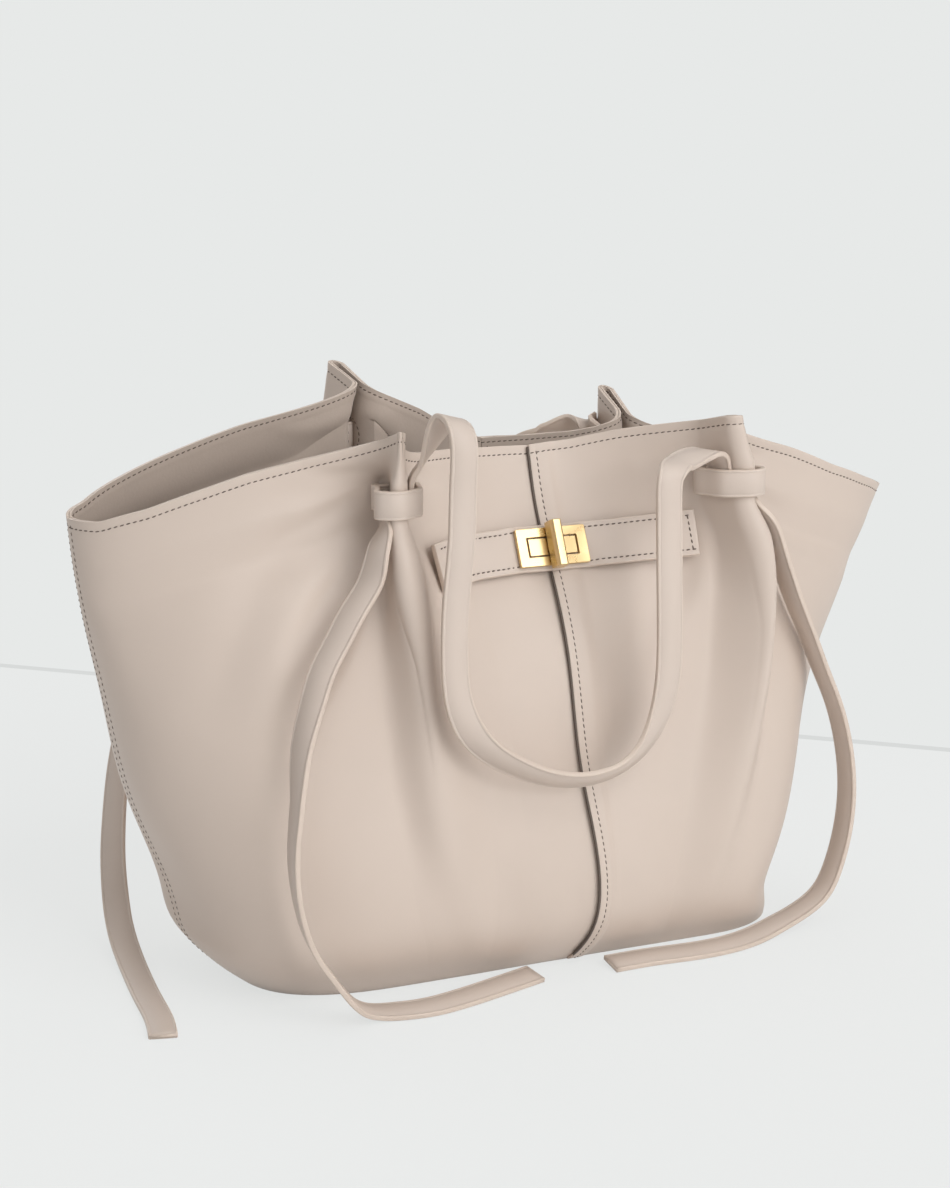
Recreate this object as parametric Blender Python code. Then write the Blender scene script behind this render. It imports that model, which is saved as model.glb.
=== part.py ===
"""Winged leather shopper with four cinched folds, a belt with a turn-lock and two handles."""

import math
from typing import NamedTuple

import bmesh
import bpy
import numpy as np

# Overall sizes in metres

HALF_SPAN = 0.255
BELLY_DEPTH = 0.084
RIM_HEIGHT = 0.300
SEAM_DRIFT = 0.006
CENTRE_SHIFT_X = 0.0048
CENTRE_SHIFT_Y = 0.008

# Leather, strap and gap sizes

LEATHER_THICKNESS = 0.0015
LINING_THICKNESS = 0.0011
AIR_GAP = 0.0003
SEAM_GAP = 0.0002
STRAP_WIDTH = 0.015
STRAP_THICKNESS = 0.0028
BELT_WIDTH = 0.0255
BELT_THICKNESS = 0.0028
BASE_THICKNESS = 0.0018
BOARD_THICKNESS = 0.0022
BOARD_INSET = 0.010
BASE_INSET = 0.0032
LINING_BASE_INSET = 0.0044

# Heights shared by every upright curve, as a share of the local rim height

LEVEL_SHARES = (0.0, 0.03, 0.09, 0.17, 0.40, 0.62, 0.78, 0.875, 1.0)
ROW_SHARES = (0.0, 0.03, 0.09, 0.17, 0.29, 0.43, 0.58, 0.72, 0.80, 0.8475, 0.9035, 0.95, 1.0)
LINING_ROW_SHARES = (0.028, 0.09, 0.17, 0.29, 0.43, 0.58, 0.72, 0.80, 0.8475, 0.9035, 0.95, 1.0)
BAND_SHARE = 0.8755
SLIT_ROWS = (0.8475, 0.9035)
PINCH_LEVELS = (0.0, 0.78, 0.84, 0.911, 1.0)
PINCH_READ_LEVELS = (0.0, 0.78, BAND_SHARE, BAND_SHARE, 1.0)
TIGHTNESS_SHARES = (0.0, 0.0, 0.0, 0.0, 0.0, 0.12, 0.72, 1.0, 1.0)
SEAM_DRIFT_SHARES = (0.0, 0.17, 0.67, 1.0, 0.17, 0.0, 0.0, 0.0, 0.0)

# Places across one quarter: 0 to 1 centre stretch, 1 to 2 fold, 2 to 3 wing

RIM_PLACES = (0.0, 0.333, 0.667, 1.0, 1.5, 2.0, 2.1, 2.222, 2.378, 2.556, 2.756, 3.0)
CENTRE_PLACES = (0.0, 0.22, 0.38, 0.55, 0.70, 0.85)
FOLD_TURNS = (1.0, 0.89, 0.79, 0.57, 0.40, 0.18, 0.12, 0.06)
SLIT_TURNS = (0.57, 0.79)
WING_PLACES = (2.1, 2.222, 2.378, 2.556, 2.756, 3.0)
BASE_PLACES = (0.0, 0.55, 1.0, 1.5, 2.0)
FOLD_NOSE_SHARE = 0.12
FOLD_FLARE = 0.005
FLARE_START_SHARE = 0.75
CENTRE_CURVE_POWER = 2.0
SLOPE_STEP = 0.001
TINY = 1e-9

# Lapped centre seam: one panel rises over an edge strip of its neighbour

LAP_STRIP_PLACES = (0.10, 0.05)
LAP_FLAT_PLACE = 0.12
LAP_END_PLACE = 0.22
LAP_RISE = LEATHER_THICKNESS + AIR_GAP


class Quarter(NamedTuple):
    """Shape of one quarter of the bag, as shares of the overall sizes at each level."""

    side: int
    face: int
    seam_depth_shares: tuple
    wing_reach_shares: tuple
    wing_depth_shares: tuple
    root_reach_shares: tuple
    root_depth_shares: tuple
    tip_reach_shares: tuple
    tip_depth_shares: tuple
    fold_half_shares: tuple
    corner_powers: tuple
    rim_shares: tuple


FRONT_LEFT = Quarter(
    side=-1,
    face=-1,
    seam_depth_shares=(0.667, 0.786, 0.940, 0.985, 0.833, 0.655, 0.393, 0.214, 0.071),
    wing_reach_shares=(0.679, 0.717, 0.774, 0.801, 0.887, 0.937, 0.971, 0.988, 1.0),
    wing_depth_shares=(-0.095, -0.095, -0.095, -0.095, -0.095, -0.107, -0.119, -0.119, -0.143),
    root_reach_shares=(0.275, 0.282, 0.294, 0.306, 0.329, 0.353, 0.369, 0.365, 0.365),
    root_depth_shares=(0.667, 0.786, 0.940, 0.976, 0.857, 0.714, 0.571, 0.464, 0.452),
    tip_reach_shares=(0.275, 0.282, 0.294, 0.314, 0.345, 0.376, 0.404, 0.412, 0.412),
    tip_depth_shares=(0.667, 0.786, 0.952, 1.012, 0.976, 0.952, 0.905, 0.845, 0.821),
    fold_half_shares=(0.214, 0.214, 0.238, 0.286, 0.333, 0.286, 0.119, 0.050, 0.056),
    corner_powers=(3.0, 3.0, 2.9, 2.7, 2.3, 2.2, 2.2, 2.2, 2.2),
    rim_shares=(0.930, 0.934, 0.941, 0.946, 1.005, 0.967, 0.960, 0.942, 0.910, 0.876, 0.852, 0.852),
)
FRONT_RIGHT = Quarter(
    side=1,
    face=-1,
    seam_depth_shares=FRONT_LEFT.seam_depth_shares,
    wing_reach_shares=(0.589, 0.585, 0.570, 0.594, 0.660, 0.735, 0.833, 0.893, 0.962),
    wing_depth_shares=(-0.095, -0.095, -0.095, -0.095, -0.119, -0.155, -0.214, -0.262, -0.321),
    root_reach_shares=(0.275, 0.282, 0.290, 0.306, 0.376, 0.408, 0.388, 0.341, 0.337),
    root_depth_shares=(0.667, 0.762, 0.881, 0.917, 0.821, 0.702, 0.583, 0.476, 0.452),
    tip_reach_shares=(0.275, 0.282, 0.294, 0.314, 0.400, 0.447, 0.431, 0.404, 0.376),
    tip_depth_shares=(0.667, 0.762, 0.893, 0.952, 0.952, 0.940, 0.905, 0.845, 0.821),
    fold_half_shares=(0.190, 0.190, 0.202, 0.226, 0.274, 0.214, 0.119, 0.060, 0.062),
    corner_powers=(2.6, 2.3, 2.1, 2.0, 2.0, 2.0, 2.1, 2.2, 2.2),
    rim_shares=(0.930, 0.938, 0.956, 0.970, 0.992, 0.972, 0.932, 0.905, 0.862, 0.827, 0.798, 0.790),
)
BACK_LEFT = Quarter(
    side=-1,
    face=1,
    seam_depth_shares=(0.857, 0.952, 1.048, 1.071, 1.0, 0.881, 0.762, 0.690, 0.655),
    wing_reach_shares=FRONT_LEFT.wing_reach_shares,
    wing_depth_shares=(0.095, 0.095, 0.095, 0.095, 0.095, 0.107, 0.119, 0.119, 0.143),
    root_reach_shares=(0.275, 0.282, 0.290, 0.298, 0.322, 0.337, 0.322, 0.306, 0.278),
    root_depth_shares=(0.857, 0.952, 1.048, 1.071, 1.024, 0.905, 0.714, 0.548, 0.512),
    tip_reach_shares=(0.275, 0.282, 0.290, 0.302, 0.329, 0.345, 0.337, 0.325, 0.314),
    tip_depth_shares=(0.857, 0.952, 1.048, 1.095, 1.119, 1.095, 1.036, 0.976, 0.929),
    fold_half_shares=(0.214, 0.214, 0.238, 0.286, 0.333, 0.262, 0.119, 0.050, 0.054),
    corner_powers=(3.0, 3.0, 2.9, 2.7, 2.3, 2.2, 2.2, 2.2, 2.2),
    rim_shares=(0.917, 0.944, 0.983, 1.012, 1.070, 1.025, 0.999, 0.980, 0.946, 0.909, 0.870, 0.853),
)
BACK_RIGHT = Quarter(
    side=1,
    face=1,
    seam_depth_shares=BACK_LEFT.seam_depth_shares,
    wing_reach_shares=FRONT_RIGHT.wing_reach_shares,
    wing_depth_shares=(0.095, 0.095, 0.095, 0.095, 0.119, 0.155, 0.214, 0.262, 0.321),
    root_reach_shares=(0.275, 0.282, 0.298, 0.318, 0.352, 0.370, 0.369, 0.361, 0.365),
    root_depth_shares=(0.857, 0.952, 1.048, 1.071, 1.024, 0.905, 0.714, 0.548, 0.512),
    tip_reach_shares=(0.275, 0.282, 0.298, 0.318, 0.356, 0.376, 0.373, 0.361, 0.353),
    tip_depth_shares=(0.857, 0.952, 1.048, 1.095, 1.119, 1.095, 1.024, 0.952, 0.905),
    fold_half_shares=(0.190, 0.190, 0.202, 0.226, 0.274, 0.214, 0.119, 0.050, 0.058),
    corner_powers=(2.6, 2.3, 2.1, 2.0, 2.0, 2.0, 2.1, 2.2, 2.2),
    rim_shares=(0.917, 0.917, 0.920, 0.933, 0.993, 0.920, 0.903, 0.883, 0.856, 0.829, 0.803, 0.790),
)
QUARTERS = {
    "front_left": FRONT_LEFT,
    "front_right": FRONT_RIGHT,
    "back_left": BACK_LEFT,
    "back_right": BACK_RIGHT,
}


# Curves and surfaces


def spline(knots, values, query):
    """Natural cubic spline through rows of values, read at the query places."""
    knots = np.asarray(knots, dtype=float)
    values = np.asarray(values, dtype=float)
    flat = values.reshape(len(knots), -1)
    step = np.diff(knots)
    count = len(knots)
    matrix = np.eye(count)
    right = np.zeros_like(flat)
    for row in range(1, count - 1):
        matrix[row, row - 1 : row + 2] = step[row - 1], 2 * (step[row - 1] + step[row]), step[row]
        rise_after = (flat[row + 1] - flat[row]) / step[row]
        rise_before = (flat[row] - flat[row - 1]) / step[row - 1]
        right[row] = 6 * (rise_after - rise_before)
    bend = np.linalg.solve(matrix, right)
    query = np.atleast_1d(np.asarray(query, dtype=float))
    cell = np.clip(np.searchsorted(knots, query) - 1, 0, count - 2)
    width = step[cell][:, None]
    before = (query - knots[cell])[:, None]
    after = width - before
    curve = (bend[cell] * after**3 + bend[cell + 1] * before**3) / (6 * width)
    line = (flat[cell] / width - bend[cell] * width / 6) * after
    line = line + (flat[cell + 1] / width - bend[cell + 1] * width / 6) * before
    return (curve + line).reshape((len(query),) + values.shape[1:])


def level_values(shares, level, size=1.0):
    """Read one level table at a height share and scale it."""
    return size * float(spline(LEVEL_SHARES, shares, level)[0])


def steady_values(shares, level, size=1.0):
    """Read one level table without overshoot between its levels."""
    return size * float(np.interp(level, LEVEL_SHARES, shares))


def smooth_step(share):
    """Ease a share from 0 to 1."""
    share = min(max(share, 0.0), 1.0)
    return share * share * (3 - 2 * share)


class FoldFrame(NamedTuple):
    """One fold at one level: its root, its tip, and its half thickness."""

    root: np.ndarray
    tip: np.ndarray
    half: float
    tight: float


def fold_frame(quarter, level):
    """Find the fold's plan at one level; it stands upright where the band holds it."""
    level = float(np.interp(level, PINCH_LEVELS, PINCH_READ_LEVELS))
    root = np.array([
        quarter.side * level_values(quarter.root_reach_shares, level, HALF_SPAN),
        quarter.face * level_values(quarter.root_depth_shares, level, BELLY_DEPTH),
    ])
    tip = np.array([
        quarter.side * level_values(quarter.tip_reach_shares, level, HALF_SPAN),
        quarter.face * level_values(quarter.tip_depth_shares, level, BELLY_DEPTH),
    ])
    half = steady_values(quarter.fold_half_shares, level, BELLY_DEPTH)
    return FoldFrame(root, tip, half, steady_values(TIGHTNESS_SHARES, level))


def fold_offsets(frame, turn):
    """Outward share and sideways length of the fold at a turn from -1 to 1."""
    depth = float(np.linalg.norm(frame.tip - frame.root))
    part = abs(turn)
    straight = max(depth - frame.half, 0.0)
    if part < FOLD_NOSE_SHARE:
        angle = part / FOLD_NOSE_SHARE * math.pi / 2
        out_tight = straight + frame.half * math.cos(angle)
        side_tight = frame.half * math.sin(angle)
    else:
        out_tight = straight * (1 - (part - FOLD_NOSE_SHARE) / (1 - FOLD_NOSE_SHARE))
        flare = max(part - FLARE_START_SHARE, 0.0) / (1 - FLARE_START_SHARE)
        side_tight = frame.half + FOLD_FLARE * flare**2
    out_wide = depth * math.cos(part * math.pi / 2) ** 2
    side_wide = frame.half * part
    out = frame.tight * out_tight + (1 - frame.tight) * out_wide
    sideways = frame.tight * side_tight + (1 - frame.tight) * side_wide
    return out / max(depth, AIR_GAP), math.copysign(sideways, turn)


def fold_plan(quarter, level, turn):
    """Plan position on the fold; turn 1 is the centre side, -1 the wing side."""
    frame = fold_frame(quarter, level)
    out, sideways = fold_offsets(frame, turn)
    across = np.array([-quarter.side * sideways, 0.0])
    return frame.root + (frame.tip - frame.root) * out + across


def plan_point(quarter, place, level):
    """Plan position of the outer leather at a place and a level."""
    if place < 1.0:
        start = np.array([
            level_values(SEAM_DRIFT_SHARES, level, SEAM_DRIFT),
            quarter.face * level_values(quarter.seam_depth_shares, level, BELLY_DEPTH),
        ])
        end = fold_plan(quarter, level, 1.0)
        across = start[0] + (end[0] - start[0]) * place
        depth = start[1] + (end[1] - start[1]) * max(place, 0.0) ** CENTRE_CURVE_POWER
        return np.array([across, depth])
    if place <= 2.0:
        return fold_plan(quarter, level, 3.0 - 2 * place)
    start = fold_plan(quarter, level, -1.0)
    reach = quarter.side * level_values(quarter.wing_reach_shares, level, HALF_SPAN)
    depth = quarter.face * level_values(quarter.wing_depth_shares, level, BELLY_DEPTH)
    angle = min(place - 2.0, 1.0) * math.pi / 2
    power = 2 / steady_values(quarter.corner_powers, level)
    along = math.sin(angle) ** power
    inward = max(math.cos(angle), 0.0) ** power
    return np.array([start[0] + (reach - start[0]) * along, depth + (start[1] - depth) * inward])


def even_height(quarter, place):
    """Height that the levels below the slits are measured against; even round the fold."""
    shares = list(quarter.rim_shares)
    tip = shares[RIM_PLACES.index(1.5)]
    shares[RIM_PLACES.index(1.0)] = tip
    shares[RIM_PLACES.index(2.0)] = tip
    return RIM_HEIGHT * float(np.interp(place, RIM_PLACES, shares))


def surface_point(quarter, place, level):
    """Position of the outer leather at a place and a level."""
    plan = plan_point(quarter, place, level)
    rim = RIM_HEIGHT * float(np.interp(place, RIM_PLACES, quarter.rim_shares))
    even = even_height(quarter, place)
    slit_top = SLIT_ROWS[1]
    height = even * min(level, slit_top)
    if level > slit_top:
        height += (rim - even * slit_top) * (level - slit_top) / (1 - slit_top)
    return np.array([plan[0], plan[1], height])


def surface_normal(quarter, place, level):
    """Outward direction of the leather at a place and a level."""
    low_place = max(place - SLOPE_STEP, 0.0)
    high_place = min(place + SLOPE_STEP, 3.0)
    low_level = max(level - SLOPE_STEP, 0.0)
    high_level = min(level + SLOPE_STEP, 1.0)
    across = surface_point(quarter, high_place, level) - surface_point(quarter, low_place, level)
    rise = surface_point(quarter, place, high_level) - surface_point(quarter, place, low_level)
    normal = np.cross(across, rise) * -quarter.side * quarter.face
    return normal / max(float(np.linalg.norm(normal)), TINY)


def skin_point(quarter, place, level, inset):
    """Point a given distance inside the outer leather face."""
    point = surface_point(quarter, place, level)
    point = point - surface_normal(quarter, place, level) * inset
    if place >= 3.0:
        point[1] += quarter.face * (SEAM_GAP + max(inset - LEATHER_THICKNESS, 0.0) / 2)
    point[2] = max(point[2], 0.0)
    return point


def lap_rise(place):
    """How far the upper panel of the lapped seam stands off near the seam."""
    share = (place - LAP_FLAT_PLACE) / (LAP_END_PLACE - LAP_FLAT_PLACE)
    return LAP_RISE * (1 - smooth_step(share))


# Mesh makers


def plain_material(name, colour, roughness, metallic):
    """Make a plain material with one colour."""
    material = bpy.data.materials.new(name)
    material.use_nodes = True
    shader = material.node_tree.nodes["Principled BSDF"]
    shader.inputs["Base Color"].default_value = colour
    shader.inputs["Roughness"].default_value = roughness
    shader.inputs["Metallic"].default_value = metallic
    return material


def mesh_object(name, vertices, faces, material):
    """Turn vertices and faces into an object with outward faces."""
    shift = np.array([CENTRE_SHIFT_X, -CENTRE_SHIFT_Y, 0.0])
    mesh = bpy.data.meshes.new(name)
    mesh.from_pydata([tuple(np.asarray(v) + shift) for v in vertices], [], faces)
    shaped = bmesh.new()
    shaped.from_mesh(mesh)
    bmesh.ops.recalc_face_normals(shaped, faces=shaped.faces)
    shaped.to_mesh(mesh)
    shaped.free()
    mesh.materials.append(material)
    result = bpy.data.objects.new(name, mesh)
    bpy.context.collection.objects.link(result)
    return result


def sheet_object(name, outer, inner, holes, material):
    """Close two grids of points into one sheet, leaving out the cells in holes."""
    rows, columns = len(outer), len(outer[0])
    vertices = []
    index = {}

    def vertex(layer, row, column):
        key = (layer, row, column)
        if key not in index:
            index[key] = len(vertices)
            vertices.append(layer_points[layer][row][column])
        return index[key]

    layer_points = (outer, inner)
    kept = {(r, c) for r in range(rows - 1) for c in range(columns - 1)} - set(holes)
    faces = []
    for row, column in sorted(kept):
        corners = ((row, column), (row, column + 1), (row + 1, column + 1), (row + 1, column))
        for picked in (0, 1, 2), (0, 2, 3):
            faces.append([vertex(0, *corners[number]) for number in picked])
            faces.append([vertex(1, *corners[number]) for number in reversed(picked)])
        beside = ((row - 1, column), (row, column + 1), (row + 1, column), (row, column - 1))
        for number, neighbour in enumerate(beside):
            if neighbour in kept:
                continue
            first, second = corners[number], corners[(number + 1) % 4]
            faces.append([vertex(0, *second), vertex(0, *first), vertex(1, *first), vertex(1, *second)])
    return mesh_object(name, vertices, faces, material)


def plate_object(name, outline, low, high, material):
    """Raise a closed outline into a flat plate."""
    count = len(outline)
    vertices = [(x, y, low) for x, y in outline] + [(x, y, high) for x, y in outline]
    faces = [list(range(count))[::-1], list(range(count, 2 * count))]
    faces += [[i, (i + 1) % count, count + (i + 1) % count, count + i] for i in range(count)]
    return mesh_object(name, vertices, faces, material)


def sample_path(points, per_span, closed=False):
    """Read a smooth curve through points."""
    points = np.asarray(points, dtype=float)
    if closed:
        points = np.vstack([points[-3:], points, points[:3]])
    lengths = np.linalg.norm(np.diff(points, axis=0), axis=1)
    knots = np.concatenate([[0.0], np.cumsum(lengths)])
    places = []
    first, last = (3, len(points) - 3) if closed else (0, len(points) - 1)
    for span in range(first, last):
        places.extend(np.linspace(knots[span], knots[span + 1], per_span, endpoint=False))
    if not closed:
        places.append(knots[-1])
    return spline(knots, points, places)


def strap_object(name, path, widths, thickness, width, material, closed=False):
    """Sweep a flat strap along a path; widths are the directions across it."""
    count = len(path)
    vertices = []
    for number in range(count):
        before = path[(number - 1) % count] if closed or number > 0 else path[number]
        after = path[(number + 1) % count] if closed or number < count - 1 else path[number]
        tangent = (after - before) / np.linalg.norm(after - before)
        across = widths[number] - tangent * float(np.dot(widths[number], tangent))
        across = across / np.linalg.norm(across)
        normal = np.cross(tangent, across)
        half_width = across * width / 2
        half_thick = normal * thickness / 2
        vertices += [
            path[number] - half_width - half_thick,
            path[number] + half_width - half_thick,
            path[number] + half_width + half_thick,
            path[number] - half_width + half_thick,
        ]
    faces = []
    spans = count if closed else count - 1
    for number in range(spans):
        low, high = 4 * number, 4 * ((number + 1) % count)
        for corner in range(4):
            beside = (corner + 1) % 4
            faces.append([low + corner, low + beside, high + beside, high + corner])
    if not closed:
        faces.append([0, 1, 2, 3])
        faces.append([4 * count - 1, 4 * count - 2, 4 * count - 3, 4 * count - 4])
    return mesh_object(name, vertices, faces, material)


# Panels and lining


def quarter_places(quarter):
    """All the places across one quarter, from the centre to the side seam."""
    centre = list(CENTRE_PLACES)
    if quarter.side > 0:
        centre = sorted(centre + list(LAP_STRIP_PLACES))
    folding = [(3.0 - turn) / 2 for turn in FOLD_TURNS]
    opening = [(3.0 + turn) / 2 for turn in reversed(FOLD_TURNS)]
    return centre + folding + [1.5] + opening + list(WING_PLACES)


def slit_cells(places, rows):
    """Cells left out for the two slits of the fold."""
    cells = []
    row = rows.index(SLIT_ROWS[0])
    for turn in SLIT_TURNS[1], -SLIT_TURNS[0]:
        place = (3.0 - turn) / 2
        column = min(range(len(places)), key=lambda number: abs(places[number] - place))
        cells.append((row, column))
    return cells


def panel_object(name, quarter, over, material):
    """Outer leather of one quarter; over tells which panel lies on top at the centre seam."""
    places = quarter_places(quarter)
    neighbour = QUARTERS["front_right" if quarter.face < 0 else "back_right"]
    strip = [] if over else list(LAP_STRIP_PLACES)
    outer, inner = [], []
    for level in ROW_SHARES:
        outer_row = [skin_point(neighbour, place, level, 0.0) for place in strip]
        inner_row = [skin_point(neighbour, place, level, LEATHER_THICKNESS) for place in strip]
        for place in places:
            rise = lap_rise(place) if over else 0.0
            outer_row.append(skin_point(quarter, place, level, -rise))
            inner_row.append(skin_point(quarter, place, level, LEATHER_THICKNESS - rise))
        outer.append(outer_row)
        inner.append(inner_row)
    shift = len(strip)
    holes = [(row, column + shift) for row, column in slit_cells(places, ROW_SHARES)]
    return sheet_object(name, outer, inner, holes, material)


def lining_object(name, quarter, material):
    """Inner leather of one quarter, just inside the outer panel."""
    places = quarter_places(quarter)
    start = LEATHER_THICKNESS + AIR_GAP
    outer, inner = [], []
    for level in LINING_ROW_SHARES:
        outer_row = [skin_point(quarter, place, level, start) for place in places]
        inner_row = [skin_point(quarter, place, level, start + LINING_THICKNESS) for place in places]
        for row in outer_row, inner_row:
            row[0][0] += quarter.side * SEAM_GAP
        outer.append(outer_row)
        inner.append(inner_row)
    return sheet_object(name, outer, inner, slit_cells(places, LINING_ROW_SHARES), material)


def base_outline(level, inset):
    """Closed outline of the base, moved inwards by the inset."""
    points = []
    for name, forward in (
        ("front_left", False),
        ("front_right", True),
        ("back_right", False),
        ("back_left", True),
    ):
        quarter = QUARTERS[name]
        places = list(BASE_PLACES + WING_PLACES)
        places = places if forward else places[::-1]
        for place in places if forward else places[:-1]:
            if abs(place - 3.0) < SLOPE_STEP and forward:
                continue
            point = surface_point(quarter, place, level)[:2]
            normal = surface_normal(quarter, place, level)[:2]
            points.append(point - normal / np.linalg.norm(normal) * inset)
    return points


def add_base(leather, lining, board):
    """Base leather, stiff board above it and the lining floor."""
    board_low = BASE_THICKNESS + AIR_GAP
    floor_low = board_low + BOARD_THICKNESS + AIR_GAP
    plate_object("base_panel", base_outline(0.0, BASE_INSET), 0.0, BASE_THICKNESS, leather)
    outline = base_outline(0.0, BOARD_INSET)
    plate_object("base_board", outline, board_low, board_low + BOARD_THICKNESS, board)
    outline = base_outline(0.0, LINING_BASE_INSET)
    plate_object("lining_base", outline, floor_low, floor_low + LINING_THICKNESS, lining)


# Belt and turn-lock

BELT_LEVEL = 0.805
BELT_LEFT_PLACES = (0.96, 0.85, 0.70, 0.55, 0.38)
BELT_RIGHT_PLACES = (0.38, 0.55, 0.70, 0.85, 0.99)
BELT_STAND_OFF = LAP_RISE + 7 * AIR_GAP
BELT_FLAT_HALF = 0.0216
BELT_SIDE_STAND_OFF = 0.0022
BELT_END_RISE = 0.006
LOCK_TILT = math.radians(24.0)
PLATE_LENGTH = 0.042
PLATE_HEIGHT = 0.0212
PLATE_THICKNESS = 0.0026
WINDOW_LENGTH = 0.0302
WINDOW_HEIGHT = 0.0108
POST_GAP = 0.0005
BELT_HOLE_LENGTH = 0.0320
BELT_HOLE_HEIGHT = 0.0126
POST_DROP = 0.0002
KNOB_LENGTH = 0.0256
KNOB_WIDTH = 0.0072
KNOB_DEPTH = 0.0088
KNOB_FRONT_WIDTH = 0.0045
KNOB_BEVEL = 0.0024
KNOB_STAND_OFF = 0.0008
SHAFT_RADIUS = 0.0024
SHAFT_HOLE_RADIUS = 0.0028
SHAFT_SIDES = 24


def belt_middle():
    """Point, outward direction and upward direction of the belt at the centre seam."""
    point = surface_point(FRONT_RIGHT, 0.0, BELT_LEVEL)
    outward = np.array([0.0, -math.cos(LOCK_TILT), math.sin(LOCK_TILT)])
    upward = np.array([0.0, math.sin(LOCK_TILT), math.cos(LOCK_TILT)])
    return point, outward, upward


def belt_stations():
    """Points on the belt's back face with outward and upward directions."""
    middle, outward, upward = belt_middle()
    start = middle + outward * BELT_STAND_OFF
    stations = []
    for place in BELT_LEFT_PLACES:
        stations.append(belt_station(FRONT_LEFT, place))
    hole = BELT_HOLE_LENGTH / 2
    for reach in -BELT_FLAT_HALF, -hole, 0.0, hole, BELT_FLAT_HALF:
        stations.append((start + np.array([reach, 0.0, 0.0]), outward, upward))
    for place in BELT_RIGHT_PLACES:
        stations.append(belt_station(FRONT_RIGHT, place))
    return sorted(stations, key=lambda station: station[0][0])


def belt_station(quarter, place):
    """One belt station on the leather of a quarter."""
    rim = even_height(quarter, place)
    height = BELT_LEVEL * even_height(quarter, 0.0)
    if quarter.side > 0:
        height += BELT_END_RISE * place**2
    level = height / rim
    upper = surface_point(quarter, place, level + BELT_WIDTH / 2 / rim)
    lower = surface_point(quarter, place, level - BELT_WIDTH / 2 / rim)
    rise = (upper - lower) * np.array([0.0, 1.0, 1.0])
    upward = rise / np.linalg.norm(rise)
    normal = surface_normal(quarter, place, level)
    outward = normal - upward * float(np.dot(normal, upward))
    outward = outward / np.linalg.norm(outward)
    stand_off = AIR_GAP + BELT_SIDE_STAND_OFF
    if quarter.side > 0:
        stand_off += lap_rise(place)
    return (upper + lower) / 2 + outward * stand_off, outward, upward


def add_belt(leather):
    """Stitched belt across the front, with a hole for the lock's post."""
    heights = (-BELT_WIDTH / 2, -BELT_HOLE_HEIGHT / 2, BELT_HOLE_HEIGHT / 2, BELT_WIDTH / 2)
    stations = belt_stations()
    outer, inner = [], []
    for height in heights:
        inner.append([point + up * height for point, out, up in stations])
        outer.append([point + up * height + out * BELT_THICKNESS for point, out, up in stations])
    middle = [n for n, station in enumerate(stations) if abs(station[0][0]) < BELT_HOLE_LENGTH / 3][0]
    return sheet_object("belt", outer, inner, [(1, middle - 1), (1, middle)], leather)


def lock_frame_points(lengths, heights, depth):
    """Corners of a rectangle in the lock's plane at a depth from the leather."""
    middle, outward, upward = belt_middle()
    origin = middle + outward * depth
    return [[origin + np.array([x, 0.0, 0.0]) + upward * h for x in lengths] for h in heights]


def add_lock_plate(brass):
    """Gold plate with a window, lying on the belt."""
    lengths = (-PLATE_LENGTH / 2, -WINDOW_LENGTH / 2, WINDOW_LENGTH / 2, PLATE_LENGTH / 2)
    heights = (-PLATE_HEIGHT / 2, -WINDOW_HEIGHT / 2, WINDOW_HEIGHT / 2, PLATE_HEIGHT / 2)
    back = BELT_STAND_OFF + BELT_THICKNESS + AIR_GAP
    inner = lock_frame_points(lengths, heights, back)
    outer = lock_frame_points(lengths, heights, back + PLATE_THICKNESS)
    return sheet_object("lock_plate", outer, inner, [(1, 1)], brass)


def lock_circle(radius, depth):
    """Circle of points about the knob's turning line."""
    middle, outward, upward = belt_middle()
    centre = middle + outward * depth
    across = np.array([1.0, 0.0, 0.0])
    angles = [2 * math.pi * number / SHAFT_SIDES for number in range(SHAFT_SIDES)]
    return [centre + across * radius * math.cos(a) + upward * radius * math.sin(a) for a in angles]


def lock_square(length, height, depth):
    """Points round a rectangle that match the circle's points one by one."""
    middle, outward, upward = belt_middle()
    centre = middle + outward * depth
    across = np.array([1.0, 0.0, 0.0])
    corner = math.atan2(height, length)
    points = []
    for number in range(SHAFT_SIDES):
        angle = 2 * math.pi * number / SHAFT_SIDES
        reach = min(
            length / 2 / max(abs(math.cos(angle)), TINY),
            height / 2 / max(abs(math.sin(angle)), TINY),
        )
        points.append(centre + across * reach * math.cos(angle) + upward * reach * math.sin(angle))
    for sign_x, sign_y in ((1, 1), (-1, 1), (-1, -1), (1, -1)):
        angle = math.atan2(sign_y * math.sin(corner), sign_x * math.cos(corner)) % (2 * math.pi)
        number = round(angle / (2 * math.pi) * SHAFT_SIDES) % SHAFT_SIDES
        points[number] = centre + across * sign_x * length / 2 + upward * sign_y * height / 2
    return points


def ring_object(name, rings, material, capped):
    """Join matching rings of points in order; capped closes the ends, else they loop."""
    count = len(rings[0])
    vertices = [point for ring in rings for point in ring]
    faces = []
    joins = len(rings) - 1 if capped else len(rings)
    for ring in range(joins):
        low, high = ring * count, (ring + 1) % len(rings) * count
        for number in range(count):
            beside = (number + 1) % count
            faces.append([low + number, low + beside, high + beside, high + number])
    if capped:
        faces.append(list(range(count))[::-1])
        faces.append(list(range(len(vertices) - count, len(vertices))))
    return mesh_object(name, vertices, faces, material)


def add_lock_post(brass):
    """Post block that fills the window and carries the knob's shaft in a bore."""
    length = WINDOW_LENGTH - 2 * POST_GAP
    height = WINDOW_HEIGHT - 2 * POST_GAP
    back = BELT_STAND_OFF
    front = BELT_STAND_OFF + BELT_THICKNESS + AIR_GAP + PLATE_THICKNESS - POST_DROP
    rings = [
        lock_square(length, height, back),
        lock_square(length, height, front),
        lock_circle(SHAFT_HOLE_RADIUS, front),
        lock_circle(SHAFT_HOLE_RADIUS, back),
    ]
    return ring_object("lock_post", rings, brass, capped=False)


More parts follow.
